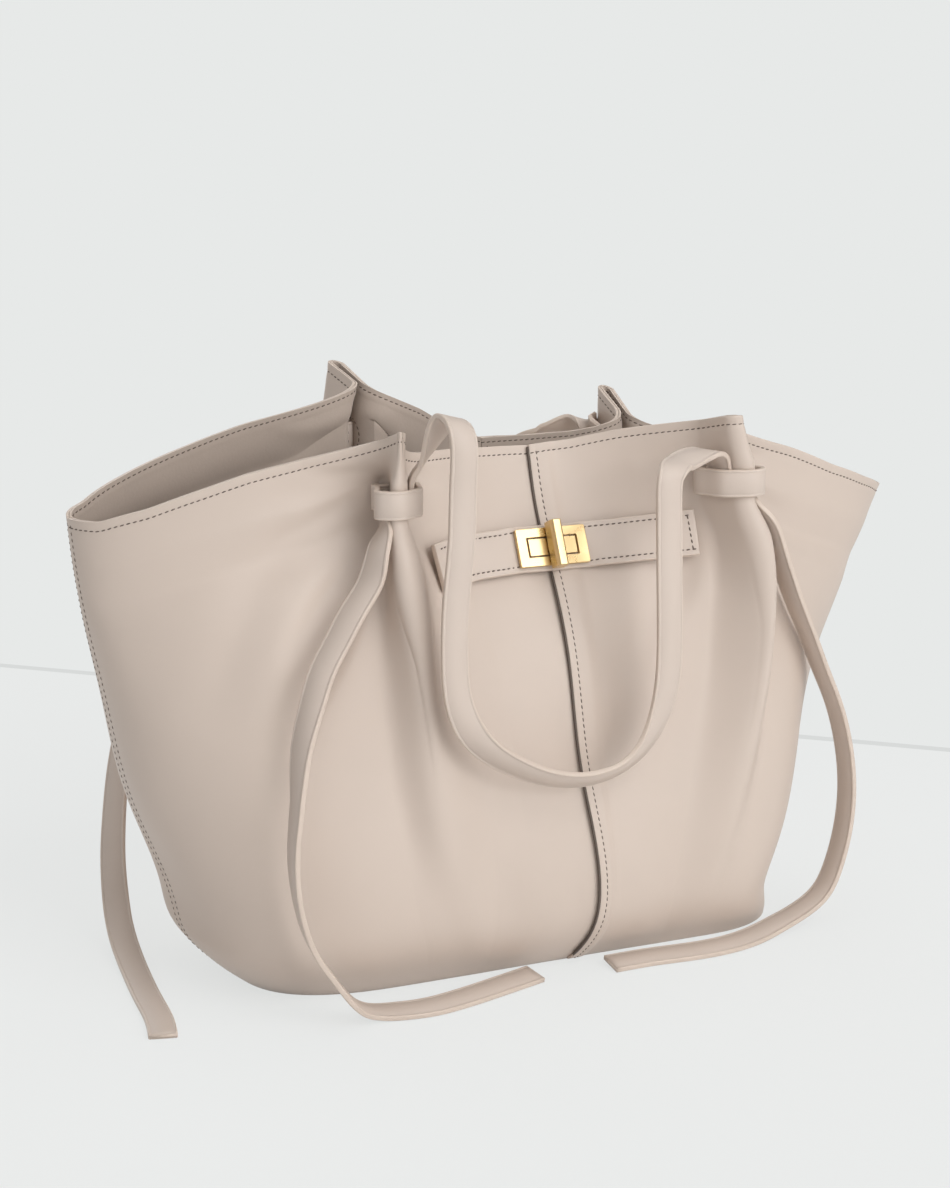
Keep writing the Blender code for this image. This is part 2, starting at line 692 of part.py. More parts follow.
def add_turn_knob(brass):
    """Upright bar on a shaft; it turns about the lock's outward line."""
    middle, outward, upward = belt_middle()
    post_front = BELT_STAND_OFF + BELT_THICKNESS + AIR_GAP + PLATE_THICKNESS - POST_DROP
    bar_back = post_front + POST_DROP + KNOB_STAND_OFF
    bar_front = bar_back + KNOB_DEPTH
    shoulder = bar_front - KNOB_BEVEL
    rings = [
        lock_circle(SHAFT_RADIUS, BELT_STAND_OFF + AIR_GAP),
        lock_circle(SHAFT_RADIUS, bar_back),
        lock_square(KNOB_WIDTH, KNOB_LENGTH, bar_back),
        lock_square(KNOB_WIDTH, KNOB_LENGTH, shoulder),
        lock_square(KNOB_FRONT_WIDTH, KNOB_LENGTH, bar_front),
    ]
    knob = ring_object("turn_knob", rings, brass, capped=True)
    place_origin(knob, middle + outward * bar_back)
    return knob


def place_origin(item, position):
    """Move an object's origin to a position without moving its mesh."""
    shift = np.array([CENTRE_SHIFT_X, -CENTRE_SHIFT_Y, 0.0])
    target = np.asarray(position) + shift
    for corner in item.data.vertices:
        corner.co = tuple(np.array(corner.co) - target)
    item.location = tuple(target)


# Bands, handle roots, tucks and tails

SLIT_TURN = 0.68
BAND_CLEARANCE = 0.0004
POCKET_OUT = 0.0225
BAND_FRONT = BAND_CLEARANCE + STRAP_THICKNESS / 2
UNDER_BAND = BAND_CLEARANCE + AIR_GAP + STRAP_THICKNESS / 2
BAND_SIDE = UNDER_BAND + STRAP_THICKNESS + 5 * AIR_GAP
BAND_RUN_SHARES = (
    (0.0, 0.0, 0.0, 0.16),
    (0.0, 0.33, 0.0, 0.85),
    (0.0, 1.3, 0.0, 1.0),
    (0.5, 0.0, 0.0, 1.02),
    (1.0, 0.0, 0.0, 1.0),
    (1.0, 0.0, 0.7, 0.50),
)
ROOT_DIP = 0.005
ROOT_RISE = STRAP_WIDTH / 2 + 0.002
TAIL_DROP = STRAP_WIDTH / 2 + 0.001
POCKET_FLARE = 0.0003
POCKET_SHARES = (0.0, 0.33, 0.67, 1.0)
ROOT_TWIST_SHARES = (0.0, 0.0, 0.0, 0.0, 0.1, 0.6, 0.95, 1.0, 1.0)
ROOT_BEND = 0.001
ROOT_LAP = 0.006
BAND_STEPS = 4
STRAP_STEPS = 3
TAIL_STEPS = 2
HANDLE_STEPS = 3
HANDLE_TILT = math.radians(50.0)
HANDLE_TILT_HEIGHT = 0.085
HANDLE_START_DROP = 0.0026
UP = np.array([0.0, 0.0, 1.0])


def fold_spot(quarter, out, sideways, level):
    """Point beside the fold: a distance out from its root and off its middle."""
    frame = fold_frame(quarter, level)
    run = frame.tip - frame.root
    depth = float(np.linalg.norm(run))
    lean = abs(run[1]) / depth
    reach = math.copysign(frame.half + abs(sideways) / lean, sideways)
    if sideways == 0:
        reach = 0.0
    plan = frame.root + run / depth * out + np.array([-quarter.side * reach, 0.0])
    return np.array([plan[0], plan[1], tip_height(quarter) * level])


def tip_height(quarter):
    """Height of the rim at the fold's tip."""
    return RIM_HEIGHT * quarter.rim_shares[4]


def slit_out(quarter):
    """Distance of the slit from the fold's root."""
    frame = fold_frame(quarter, BAND_SHARE)
    out, sideways = fold_offsets(frame, SLIT_TURN)
    return out * float(np.linalg.norm(frame.tip - frame.root))


def band_path(quarter):
    """Closed path of the cinch band round the fold and through its two slits."""
    frame = fold_frame(quarter, BAND_SHARE)
    depth = float(np.linalg.norm(frame.tip - frame.root))
    slit = slit_out(quarter)
    nose = depth - frame.half
    side = []
    for run, thick, half, stand_off in BAND_RUN_SHARES:
        out = slit + (nose - slit) * run + STRAP_THICKNESS * thick + frame.half * half
        side.append((out, -BAND_SIDE * stand_off))
    points = [fold_spot(quarter, out, off, BAND_SHARE) for out, off in side]
    points.append(fold_spot(quarter, depth + BAND_FRONT, 0.0, BAND_SHARE))
    points += [fold_spot(quarter, out, -off, BAND_SHARE) for out, off in side[::-1]]
    points.append(fold_spot(quarter, slit, 0.0, BAND_SHARE))
    return sample_path(points, BAND_STEPS, closed=True)


def add_band(name, quarter, leather):
    """Cinch band of one fold."""
    path = band_path(quarter)
    widths = [UP] * len(path)
    return strap_object(name, path, widths, STRAP_THICKNESS, STRAP_WIDTH, leather, closed=True)


def fold_direction(quarter):
    """Level direction from the fold's root to its tip."""
    frame = fold_frame(quarter, BAND_SHARE)
    run = frame.tip - frame.root
    return np.array([run[0], run[1], 0.0]) / float(np.linalg.norm(run))


def blend_widths(points, widths, path):
    """Directions across a strap, blended between those given at the points."""
    points = np.asarray(points, dtype=float)
    lengths = np.linalg.norm(np.diff(points, axis=0), axis=1)
    knots = np.concatenate([[0.0], np.cumsum(lengths)])
    steps = np.linalg.norm(np.diff(path, axis=0), axis=1)
    travelled = np.concatenate([[0.0], np.cumsum(steps)])
    travelled = travelled * knots[-1] / travelled[-1]
    table = np.asarray(widths, dtype=float)
    return [np.array([np.interp(t, knots, table[:, axis]) for axis in range(3)]) for t in travelled]


def add_route(name, points, widths, leather, steps=STRAP_STEPS):
    """Sweep a strap along free points."""
    path = sample_path(points, steps)
    across = blend_widths(points, widths, path)
    return strap_object(name, path, across, STRAP_THICKNESS, STRAP_WIDTH, leather)


# Positions along the handles and tails, as shares of the half span, belly depth and rim height

ROUTE_SCALE = np.array([HALF_SPAN, BELLY_DEPTH, RIM_HEIGHT])


def route_points(shares):
    """Scale rows of shares into positions."""
    return [np.array(row) * ROUTE_SCALE for row in shares]


FRONT_SPLIT_SHARES = ((-0.318, -1.071, 1.020), (0.165, -1.083, 0.910))
BACK_SPLIT_SHARES = ((-0.290, 1.295, 0.950), (0.215, 1.295, 0.874))
ROOT_SHARES = {
    "front_left": ((-0.350, -0.760, 0.945), (-0.337, -0.870, 0.995), (-0.325, -0.955, 1.027)),
    "front_right": ((0.336, -0.745, 0.918), (0.285, -0.840, 0.929), (0.218, -0.960, 0.924)),
    "back_left": ((-0.273, 0.850, 0.984), (-0.270, 1.000, 0.994), (-0.280, 1.140, 0.976)),
    "back_right": ((0.321, 0.850, 0.915), (0.312, 0.990, 0.918), (0.258, 1.140, 0.900)),
}
HANDLE_SHARES = {
    "front": (
        (-0.312, -1.107, 0.928),
        (-0.316, -1.107, 0.826),
        (-0.328, -1.107, 0.724),
        (-0.332, -1.107, 0.620),
        (-0.320, -1.107, 0.535),
        (-0.278, -1.110, 0.470),
        (-0.200, -1.115, 0.420),
        (-0.095, -1.119, 0.384),
        (0.000, -1.119, 0.380),
        (0.075, -1.115, 0.403),
        (0.131, -1.110, 0.460),
        (0.157, -1.107, 0.530),
        (0.163, -1.104, 0.620),
        (0.161, -1.098, 0.730),
        (0.159, -1.090, 0.845),
    ),
    "back": (
        (-0.294, 1.310, 0.850),
        (-0.300, 1.310, 0.700),
        (-0.286, 1.310, 0.560),
        (-0.230, 1.310, 0.450),
        (-0.120, 1.310, 0.388),
        (0.030, 1.310, 0.388),
        (0.140, 1.310, 0.450),
        (0.196, 1.310, 0.560),
        (0.215, 1.310, 0.690),
        (0.217, 1.305, 0.790),
    ),
}
TAIL_SHARES = {
    "front_left": (
        (-0.453, -0.810, 0.807),
        (-0.470, -0.810, 0.753),
        (-0.511, -0.833, 0.705),
        (-0.553, -0.869, 0.655),
        (-0.591, -0.905, 0.608),
        (-0.615, -0.940, 0.563),
        (-0.650, -1.000, 0.482),
        (-0.666, -1.048, 0.399),
        (-0.680, -1.083, 0.315),
        (-0.677, -1.119, 0.228),
        (-0.645, -1.149, 0.137),
        (-0.608, -1.155, 0.088),
        (-0.560, -1.155, 0.035),
        (-0.516, -1.119, 0.0135),
        (-0.463, -1.151, 0.0105),
        (-0.398, -1.169, 0.0105),
        (-0.349, -1.145, 0.0105),
        (-0.216, -1.026, 0.0105),
        (-0.118, -0.929, 0.0105),
    ),
    "front_right": (
        (0.449, -0.780, 0.800),
        (0.480, -0.798, 0.745),
        (0.505, -0.785, 0.695),
        (0.535, -0.774, 0.637),
        (0.562, -0.774, 0.588),
        (0.596, -0.738, 0.535),
        (0.629, -0.714, 0.481),
        (0.662, -0.690, 0.427),
        (0.699, -0.679, 0.323),
        (0.708, -0.679, 0.243),
        (0.696, -0.690, 0.163),
        (0.674, -0.702, 0.105),
        (0.640, -0.726, 0.060),
        (0.585, -0.757, 0.033),
        (0.508, -0.810, 0.0165),
        (0.416, -0.917, 0.0105),
        (0.274, -0.995, 0.0105),
        (0.154, -0.970, 0.0105),
        (0.055, -0.974, 0.0105),
    ),
    "back_left": (
        (-0.390, 0.960, 0.850),
        (-0.450, 1.090, 0.780),
        (-0.560, 1.200, 0.680),
        (-0.670, 1.250, 0.560),
        (-0.752, 1.240, 0.440),
        (-0.796, 1.210, 0.320),
        (-0.815, 1.165, 0.225),
        (-0.829, 1.085, 0.150),
        (-0.840, 0.950, 0.088),
        (-0.853, 0.745, 0.048),
        (-0.864, 0.480, 0.020),
        (-0.877, 0.170, 0.0065),
        (-0.899, -0.264, 0.0055),
        (-0.918, -0.645, 0.0055),
        (-0.937, -0.875, 0.0055),
    ),
    "back_right": (
        (0.412, 0.960, 0.790),
        (0.432, 1.130, 0.700),
        (0.450, 1.240, 0.590),
        (0.470, 1.290, 0.450),
        (0.475, 1.300, 0.300),
        (0.470, 1.320, 0.180),
        (0.456, 1.340, 0.095),
        (0.430, 1.355, 0.044),
        (0.390, 1.370, 0.017),
        (0.325, 1.380, 0.0075),
        (0.220, 1.390, 0.0065),
        (0.020, 1.370, 0.0065),
    ),
}
TAIL_WIDTHS = {
    "front_left": ((-0.35, -0.94, 0.0), (0.05, -0.99, 0.0), (0.0, -0.975, -0.22)),
    "front_right": ((0.3, -0.95, 0.0), (0.1, -0.99, 0.0), (0.0, -0.975, -0.22)),
    "back_left": ((-0.14, 0.99, 0.0), (-0.5, 0.87, 0.0), (-1.0, 0.10, 0.0)),
    "back_right": ((0.0, 1.0, 0.0), (0.0, 1.0, 0.0), (0.0, 1.0, 0.0)),
}


def pocket_points(quarter, side, start, end):
    """Points between band and fold, on the centre side (1) or wing side (-1)."""
    points = []
    for share in POCKET_SHARES:
        off = UNDER_BAND + (POCKET_FLARE if share == POCKET_SHARES[-1] else 0.0)
        point = fold_spot(quarter, POCKET_OUT, side * off, BAND_SHARE)
        points.append(point + UP * (start + (end - start) * share))
    return points


def axis_direction(face):
    """Unit direction of a handle's hinge line."""
    ends = route_points(FRONT_SPLIT_SHARES if face < 0 else BACK_SPLIT_SHARES)
    return (ends[1] - ends[0]) / np.linalg.norm(ends[1] - ends[0])


def add_root(name, quarter, leather):
    """Fixed end of a handle: from under the band up and over to the hinge line."""
    pocket = pocket_points(quarter, 1, -ROOT_DIP, ROOT_RISE)
    ends = route_points(FRONT_SPLIT_SHARES if quarter.face < 0 else BACK_SPLIT_SHARES)
    hinge = ends[0] if quarter.side < 0 else ends[1]
    middle = route_points(ROOT_SHARES[name.rsplit("_", 1)[0]])
    axis = axis_direction(quarter.face)
    side = fold_direction(quarter) * quarter.side * -quarter.face
    outward = np.array([0.0, quarter.face, 0.0])
    behind = STRAP_THICKNESS + 2 * AIR_GAP
    bend = hinge - outward * (behind + ROOT_BEND) + UP * AIR_GAP
    last = hinge - outward * behind - UP * ROOT_LAP
    points = pocket + middle + [bend, last]
    side = side * math.copysign(1.0, float(side[0]))
    widths = [side * (1 - twist) + axis * twist for twist in ROOT_TWIST_SHARES]
    return add_route(name, points, widths, leather)


def add_handle(name, face, leather):
    """Hanging part of a handle, with its origin on the hinge line."""
    ends = route_points(FRONT_SPLIT_SHARES if face < 0 else BACK_SPLIT_SHARES)
    middle = route_points(HANDLE_SHARES["front" if face < 0 else "back"])
    starts = [end - UP * HANDLE_START_DROP for end in ends]
    path = sample_path([starts[0]] + middle + [starts[1]], HANDLE_STEPS)
    lowest = min(point[2] for point in path)
    widths = []
    for number in range(len(path)):
        before = path[max(number - 1, 0)]
        after = path[min(number + 1, len(path) - 1)]
        lift = (path[number][2] - lowest) / HANDLE_TILT_HEIGHT
        tilt = HANDLE_TILT * (1 - smooth_step(lift))
        normal = np.array([0.0, face * math.cos(tilt), -math.sin(tilt)])
        widths.append(np.cross(normal, after - before))
    handle = strap_object(name, path, widths, STRAP_THICKNESS, STRAP_WIDTH, leather)
    place_origin(handle, (ends[0] + ends[1]) / 2)
    return handle


def add_tail(name, quarter, leather):
    """Free end of a strap, from under the band down to the floor."""
    pocket = pocket_points(quarter, -1, ROOT_DIP, -TAIL_DROP)
    key = name.rsplit("_", 1)[0]
    points = pocket + route_points(TAIL_SHARES[key])
    under = fold_direction(quarter)
    upper, middle, end = (np.array(row) for row in TAIL_WIDTHS[key])
    count = len(points)
    widths = []
    for number in range(count):
        share = number / (count - 1)
        early = smooth_step(share * 2)
        late = smooth_step(share * 2 - 1)
        widths.append(upper * (1 - early) + middle * (early - late) + end * late)
    widths[: len(pocket)] = [under] * len(pocket)
    return add_route(name, points, widths, leather, TAIL_STEPS)


TUCK_TURN_SHARES = (
    (-0.25, 0.14),
    (-0.29, 0.34),
    (-0.40, 0.50),
    (-0.53, 0.47),
    (-0.58, 0.34),
)
TUCK_WIDTH = 0.0135


def add_tuck(name, quarter, leather):
    """Short curl of strap where it comes out of the wing-side slit."""
    slit = slit_out(quarter)
    points = []
    for out, off in TUCK_TURN_SHARES:
        points.append(fold_spot(quarter, slit + STRAP_WIDTH * out, -STRAP_WIDTH * off, BAND_SHARE))
    path = sample_path(points, STRAP_STEPS)
    return strap_object(name, path, [UP] * len(path), STRAP_THICKNESS, TUCK_WIDTH, leather)


# Whole bag

LEATHER_COLOUR = (0.66, 0.55, 0.47, 1.0)
LINING_COLOUR = (0.30, 0.23, 0.18, 1.0)
BRASS_COLOUR = (0.83, 0.62, 0.28, 1.0)
BOARD_COLOUR = (0.45, 0.38, 0.30, 1.0)
LEATHER_ROUGHNESS = 0.52
LINING_ROUGHNESS = 0.75
BRASS_ROUGHNESS = 0.24
BOARD_ROUGHNESS = 0.85


def leather_material(name):
    """Smooth outer leather."""
    return plain_material(name, LEATHER_COLOUR, LEATHER_ROUGHNESS, 0.0)


def lining_material(name):
    """Darker inner leather."""
    return plain_material(name, LINING_COLOUR, LINING_ROUGHNESS, 0.0)


def brass_material(name):
    """Polished gold-coloured metal."""
    return plain_material(name, BRASS_COLOUR, BRASS_ROUGHNESS, 1.0)


def board_material(name):
    """Plain stiff board."""
    return plain_material(name, BOARD_COLOUR, BOARD_ROUGHNESS, 0.0)


def add_body():
    """Outer panels, base and lining."""
    for name, quarter in QUARTERS.items():
        over = quarter.side > 0
        panel_object(name + "_panel", quarter, over, leather_material(name + "_panel_leather"))
        lining_object("lining_" + name, quarter, lining_material("lining_" + name + "_leather"))
    add_base(
        leather_material("base_panel_leather"),
        lining_material("lining_base_leather"),
        board_material("base_board_card"),
    )


def add_front_belt():
    """Belt and turn-lock."""
    add_belt(leather_material("belt_leather"))
    add_lock_plate(brass_material("lock_plate_brass"))
    add_lock_post(brass_material("lock_post_brass"))
    add_turn_knob(brass_material("turn_knob_brass"))


def add_straps():
    """Handles with their knots and hanging tails."""
    for name, quarter in QUARTERS.items():
        add_band(name + "_band", quarter, leather_material(name + "_band_leather"))
        add_root(name + "_root", quarter, leather_material(name + "_root_leather"))
        add_tuck(name + "_tuck", quarter, leather_material(name + "_tuck_leather"))
        add_tail(name + "_tail", quarter, leather_material(name + "_tail_leather"))
    add_handle("front_handle", -1, leather_material("front_handle_leather"))
    add_handle("back_handle", 1, leather_material("back_handle_leather"))


def main():
    """Build the bag."""
    for item in list(bpy.data.objects):
        bpy.data.objects.remove(item, do_unlink=True)
    add_body()
    add_front_belt()
    add_straps()


main()
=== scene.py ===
"""Winged leather shopper with cinched folds and a turn-lock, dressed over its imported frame."""

import logging
import math
from dataclasses import dataclass
from enum import Enum
from typing import NamedTuple, Sequence

import bmesh
import bpy
import numpy as np
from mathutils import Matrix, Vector


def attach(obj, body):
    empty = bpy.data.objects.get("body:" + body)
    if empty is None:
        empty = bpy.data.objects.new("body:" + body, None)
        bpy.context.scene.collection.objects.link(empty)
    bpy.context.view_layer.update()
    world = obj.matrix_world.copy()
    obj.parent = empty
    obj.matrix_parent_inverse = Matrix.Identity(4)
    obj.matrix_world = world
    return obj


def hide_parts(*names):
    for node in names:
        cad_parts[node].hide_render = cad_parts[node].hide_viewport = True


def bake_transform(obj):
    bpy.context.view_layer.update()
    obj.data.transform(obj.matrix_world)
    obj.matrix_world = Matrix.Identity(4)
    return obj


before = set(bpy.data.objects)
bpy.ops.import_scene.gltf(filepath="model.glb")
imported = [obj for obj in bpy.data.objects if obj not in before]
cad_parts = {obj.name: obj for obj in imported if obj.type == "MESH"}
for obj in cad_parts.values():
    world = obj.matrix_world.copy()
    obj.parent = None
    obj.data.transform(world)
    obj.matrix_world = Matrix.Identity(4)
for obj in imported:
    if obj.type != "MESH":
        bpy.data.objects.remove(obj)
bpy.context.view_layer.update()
LOG = logging.getLogger("shopper")

Array = np.ndarray
Colour = tuple[float, float, float]
UP = np.array([0.0, 0.0, 1.0])
ACROSS = np.array([1.0, 0.0, 0.0])
TINY = 1e-9
SOFTENING_SAMPLES = 9
LOOP_OVERLAP = 3


# Sizes and tables


@dataclass(frozen=True)
class BagSizes:
    """Sizes shared by the whole bag, in metres."""

    half_span: float = 0.255
    belly_depth: float = 0.084
    rim_height: float = 0.300
    seam_drift: float = 0.006
    shift_x: float = 0.0048
    shift_y: float = -0.008
    leather: float = 0.0015
    lining: float = 0.0011
    air_gap: float = 0.0003
    seam_gap: float = 0.0002
    strap_width: float = 0.015
    strap_thickness: float = 0.0028
    lap_rise: float = 0.0018
    lap_flat: float = 0.12
    lap_end: float = 0.22

    @property
    def shift(self) -> Array:
        """Move from the drawing's centre to the footprint's centre."""
        return np.array([self.shift_x, self.shift_y, 0.0])

    @property
    def route_scale(self) -> Array:
        """Lengths that a row of route shares is multiplied by."""
        return np.array([self.half_span, self.belly_depth, self.rim_height])


SIZES = BagSizes()


class Side(Enum):
    """Which quarter of the bag."""

    FRONT_LEFT = "front_left"
    FRONT_RIGHT = "front_right"
    BACK_LEFT = "back_left"
    BACK_RIGHT = "back_right"


class Hold(Enum):
    """Body that a piece moves with."""

    BAG = "bag"
    FRONT_HANDLE = "front_handle"
    BACK_HANDLE = "back_handle"
    KNOB = "turn_knob"


class Slot(Enum):
    """Record slot named with each piece."""

    OUTER = "outer_leather"
    STRAP = "strap_leather"
    LINING = "lining_leather"
    GOLD = "gold_metal"
    CARD = "base_card"


# Levels run from 0 at the base to 1 at the rim, places from 0 at the centre seam to 3 at the side seam.
# Reaches are shares of half the span, depths of the belly's depth and rims of the rim's height.
LEVELS = (0.0, 0.03, 0.09, 0.17, 0.40, 0.62, 0.78, 0.875, 1.0)
BAND_LEVEL = 0.8755
SLIT_LEVELS = (0.8475, 0.9035)
PINCH_LEVELS = (0.0, 0.78, 0.84, 0.911, 1.0)
PINCH_READ_LEVELS = (0.0, 0.78, BAND_LEVEL, BAND_LEVEL, 1.0)
TIGHTNESS = (0.0, 0.0, 0.0, 0.0, 0.0, 0.12, 0.72, 1.0, 1.0)
SEAM_DRIFT = (0.0, 0.17, 0.67, 1.0, 0.17, 0.0, 0.0, 0.0, 0.0)
FOLD_START, FOLD_TIP, FOLD_END, SIDE_SEAM = 1.0, 1.5, 2.0, 3.0
SLIT_TURN = 0.68
SLIT_TURNS = (0.60, 0.76)
RIM_PLACES = (0.0, 0.333, 0.667, 1.0, 1.5, 2.0, 2.1, 2.222, 2.378, 2.556, 2.756, 3.0)
LEFT_REACH = (0.679, 0.717, 0.774, 0.801, 0.887, 0.937, 0.971, 0.988, 1.0)
RIGHT_REACH = (0.589, 0.585, 0.570, 0.594, 0.660, 0.735, 0.833, 0.893, 0.962)
LEFT_WING_DEPTH = (0.095, 0.095, 0.095, 0.095, 0.095, 0.107, 0.119, 0.119, 0.143)
RIGHT_WING_DEPTH = (0.095, 0.095, 0.095, 0.095, 0.119, 0.155, 0.214, 0.262, 0.321)
LEFT_POWERS = (3.0, 3.0, 2.9, 2.7, 2.3, 2.2, 2.2, 2.2, 2.2)
RIGHT_POWERS = (2.6, 2.3, 2.1, 2.0, 2.0, 2.0, 2.1, 2.2, 2.2)
FRONT_SEAM_DEPTH = (0.667, 0.786, 0.940, 0.985, 0.833, 0.655, 0.393, 0.214, 0.071)
BACK_SEAM_DEPTH = (0.857, 0.952, 1.048, 1.071, 1.0, 0.881, 0.762, 0.690, 0.655)
BACK_ROOT_DEPTH = (0.857, 0.952, 1.048, 1.071, 1.024, 0.905, 0.714, 0.548, 0.512)


@dataclass(frozen=True)
class Quarter:
    """One quarter of the bag: shares of the overall sizes at each level."""

    side: int
    face: int
    seam_depth: tuple
    wing_reach: tuple
    wing_depth: tuple
    root_reach: tuple
    root_depth: tuple
    tip_reach: tuple
    tip_depth: tuple
    fold_half: tuple
    powers: tuple
    rim: tuple


def mirrored(shares: Sequence[float]) -> tuple:
    """The same shares with their sign turned round."""
    return tuple(-share for share in shares)


QUARTERS = {
    Side.FRONT_LEFT: Quarter(
        side=-1,
        face=-1,
        seam_depth=FRONT_SEAM_DEPTH,
        wing_reach=LEFT_REACH,
        wing_depth=mirrored(LEFT_WING_DEPTH),
        root_reach=(0.275, 0.282, 0.294, 0.306, 0.329, 0.353, 0.369, 0.365, 0.365),
        root_depth=(0.667, 0.786, 0.940, 0.976, 0.857, 0.714, 0.571, 0.464, 0.452),
        tip_reach=(0.275, 0.282, 0.294, 0.314, 0.345, 0.376, 0.404, 0.412, 0.412),
        tip_depth=(0.667, 0.786, 0.952, 1.012, 0.976, 0.952, 0.905, 0.845, 0.821),
        fold_half=(0.214, 0.214, 0.238, 0.286, 0.333, 0.286, 0.119, 0.050, 0.056),
        powers=LEFT_POWERS,
        rim=(0.930, 0.934, 0.941, 0.946, 1.005, 0.967, 0.960, 0.942, 0.910, 0.876, 0.852, 0.852),
    ),
    Side.FRONT_RIGHT: Quarter(
        side=1,
        face=-1,
        seam_depth=FRONT_SEAM_DEPTH,
        wing_reach=RIGHT_REACH,
        wing_depth=mirrored(RIGHT_WING_DEPTH),
        root_reach=(0.275, 0.282, 0.290, 0.306, 0.376, 0.408, 0.388, 0.341, 0.337),
        root_depth=(0.667, 0.762, 0.881, 0.917, 0.821, 0.702, 0.583, 0.476, 0.452),
        tip_reach=(0.275, 0.282, 0.294, 0.314, 0.400, 0.447, 0.431, 0.404, 0.376),
        tip_depth=(0.667, 0.762, 0.893, 0.952, 0.952, 0.940, 0.905, 0.845, 0.821),
        fold_half=(0.190, 0.190, 0.202, 0.226, 0.274, 0.214, 0.119, 0.060, 0.062),
        powers=RIGHT_POWERS,
        rim=(0.930, 0.938, 0.956, 0.970, 0.992, 0.972, 0.932, 0.905, 0.862, 0.827, 0.798, 0.790),
    ),
    Side.BACK_LEFT: Quarter(
        side=-1,
        face=1,
        seam_depth=BACK_SEAM_DEPTH,
        wing_reach=LEFT_REACH,
        wing_depth=LEFT_WING_DEPTH,
        root_reach=(0.275, 0.282, 0.290, 0.298, 0.322, 0.337, 0.322, 0.306, 0.278),
        root_depth=BACK_ROOT_DEPTH,
        tip_reach=(0.275, 0.282, 0.290, 0.302, 0.329, 0.345, 0.337, 0.325, 0.314),
        tip_depth=(0.857, 0.952, 1.048, 1.095, 1.119, 1.095, 1.036, 0.976, 0.929),
        fold_half=(0.214, 0.214, 0.238, 0.286, 0.333, 0.262, 0.119, 0.050, 0.054),
        powers=LEFT_POWERS,
        rim=(0.917, 0.944, 0.983, 1.012, 1.070, 1.025, 0.999, 0.980, 0.946, 0.909, 0.870, 0.853),
    ),
    Side.BACK_RIGHT: Quarter(
        side=1,
        face=1,
        seam_depth=BACK_SEAM_DEPTH,
        wing_reach=RIGHT_REACH,
        wing_depth=RIGHT_WING_DEPTH,
        root_reach=(0.275, 0.282, 0.298, 0.318, 0.352, 0.370, 0.369, 0.361, 0.365),
        root_depth=BACK_ROOT_DEPTH,
        tip_reach=(0.275, 0.282, 0.298, 0.318, 0.356, 0.376, 0.373, 0.361, 0.353),
        tip_depth=(0.857, 0.952, 1.048, 1.095, 1.119, 1.095, 1.024, 0.952, 0.905),
        fold_half=(0.190, 0.190, 0.202, 0.226, 0.274, 0.214, 0.119, 0.050, 0.058),
        powers=RIGHT_POWERS,
        rim=(0.917, 0.917, 0.920, 0.933, 0.993, 0.920, 0.903, 0.883, 0.856, 0.829, 0.803, 0.790),
    ),
}


# Curves


def natural_spline(knots: Sequence[float], values: Array, query: Array) -> Array:
    """Read a natural cubic spline through rows of values.

    Args:
        knots: Rising places of the rows.
        values: One row of values per knot.
        query: Places to read.

    Returns:
        One row of values per query place.
    """
    knots = np.asarray(knots, dtype=float)
    values = np.asarray(values, dtype=float)
    flat = values.reshape(len(knots), -1)
    step = np.diff(knots)
    count = len(knots)
    matrix = np.eye(count)
    right = np.zeros_like(flat)
    for row in range(1, count - 1):
        matrix[row, row - 1 : row + 2] = step[row - 1], 2 * (step[row - 1] + step[row]), step[row]
        rise_after = (flat[row + 1] - flat[row]) / step[row]
        rise_before = (flat[row] - flat[row - 1]) / step[row - 1]
        right[row] = 6 * (rise_after - rise_before)
    bend = np.linalg.solve(matrix, right)
    query = np.atleast_1d(np.asarray(query, dtype=float))
    cell = np.clip(np.searchsorted(knots, query) - 1, 0, count - 2)
    width = step[cell][:, None]
    before = (query - knots[cell])[:, None]
    after = width - before
    curve = (bend[cell] * after**3 + bend[cell + 1] * before**3) / (6 * width)
    line = (flat[cell] / width - bend[cell] * width / 6) * after
    line = line + (flat[cell + 1] / width - bend[cell + 1] * width / 6) * before
    return (curve + line).reshape((len(query),) + values.shape[1:])


def smooth_step(share: Array) -> Array:
    """Ease a share from 0 to 1."""
    share = np.clip(share, 0.0, 1.0)
    return share * share * (3 - 2 * share)


def softened(knots: Sequence[float], values: Sequence[float], query: Array, reach: float) -> Array:
    """Read straight runs between knots with their corners rounded off.

    Args:
        knots: Rising places.
        values: Values at the places.
        query: Places to read.
        reach: How far each side of a corner is rounded.

    Returns:
        The values, averaged over the reach.
    """
    query = np.asarray(query, dtype=float)
    offsets = np.linspace(-reach, reach, SOFTENING_SAMPLES)
    weights = 1.0 + np.cos(offsets / reach * math.pi)
    total = sum(w * np.interp(query + o, knots, values) for o, w in zip(offsets, weights))
    return total / weights.sum()


def smooth_path(points: Array, per_span: int, closed: bool = False) -> Array:
    """Read a smooth curve through points.

    Args:
        points: Points in order.
        per_span: Steps between two points.
        closed: Whether the curve runs back to its start.

    Returns:
        The points of the curve.
    """
    points = np.asarray(points, dtype=float)
    if closed:
        points = np.vstack([points[-LOOP_OVERLAP:], points, points[:LOOP_OVERLAP]])
    knots = arc_lengths(points)
    first, last = (LOOP_OVERLAP, len(points) - LOOP_OVERLAP) if closed else (0, len(points) - 1)
    places = []
    for span in range(first, last):
        places.extend(np.linspace(knots[span], knots[span + 1], per_span, endpoint=False))
    if not closed:
        places.append(knots[-1])
    return natural_spline(knots, points, np.array(places))


def arc_lengths(points: Array) -> Array:
    """Distance travelled at each point of a path."""
    steps = np.linalg.norm(np.diff(points, axis=0), axis=1)
    return np.concatenate([[0.0], np.cumsum(steps)])


def read_along(travelled: Array, values: Array, query: Array) -> Array:
    """Read rows of values at distances along a path."""
    return np.stack([np.interp(query, travelled, values[:, k]) for k in range(values.shape[1])], -1)


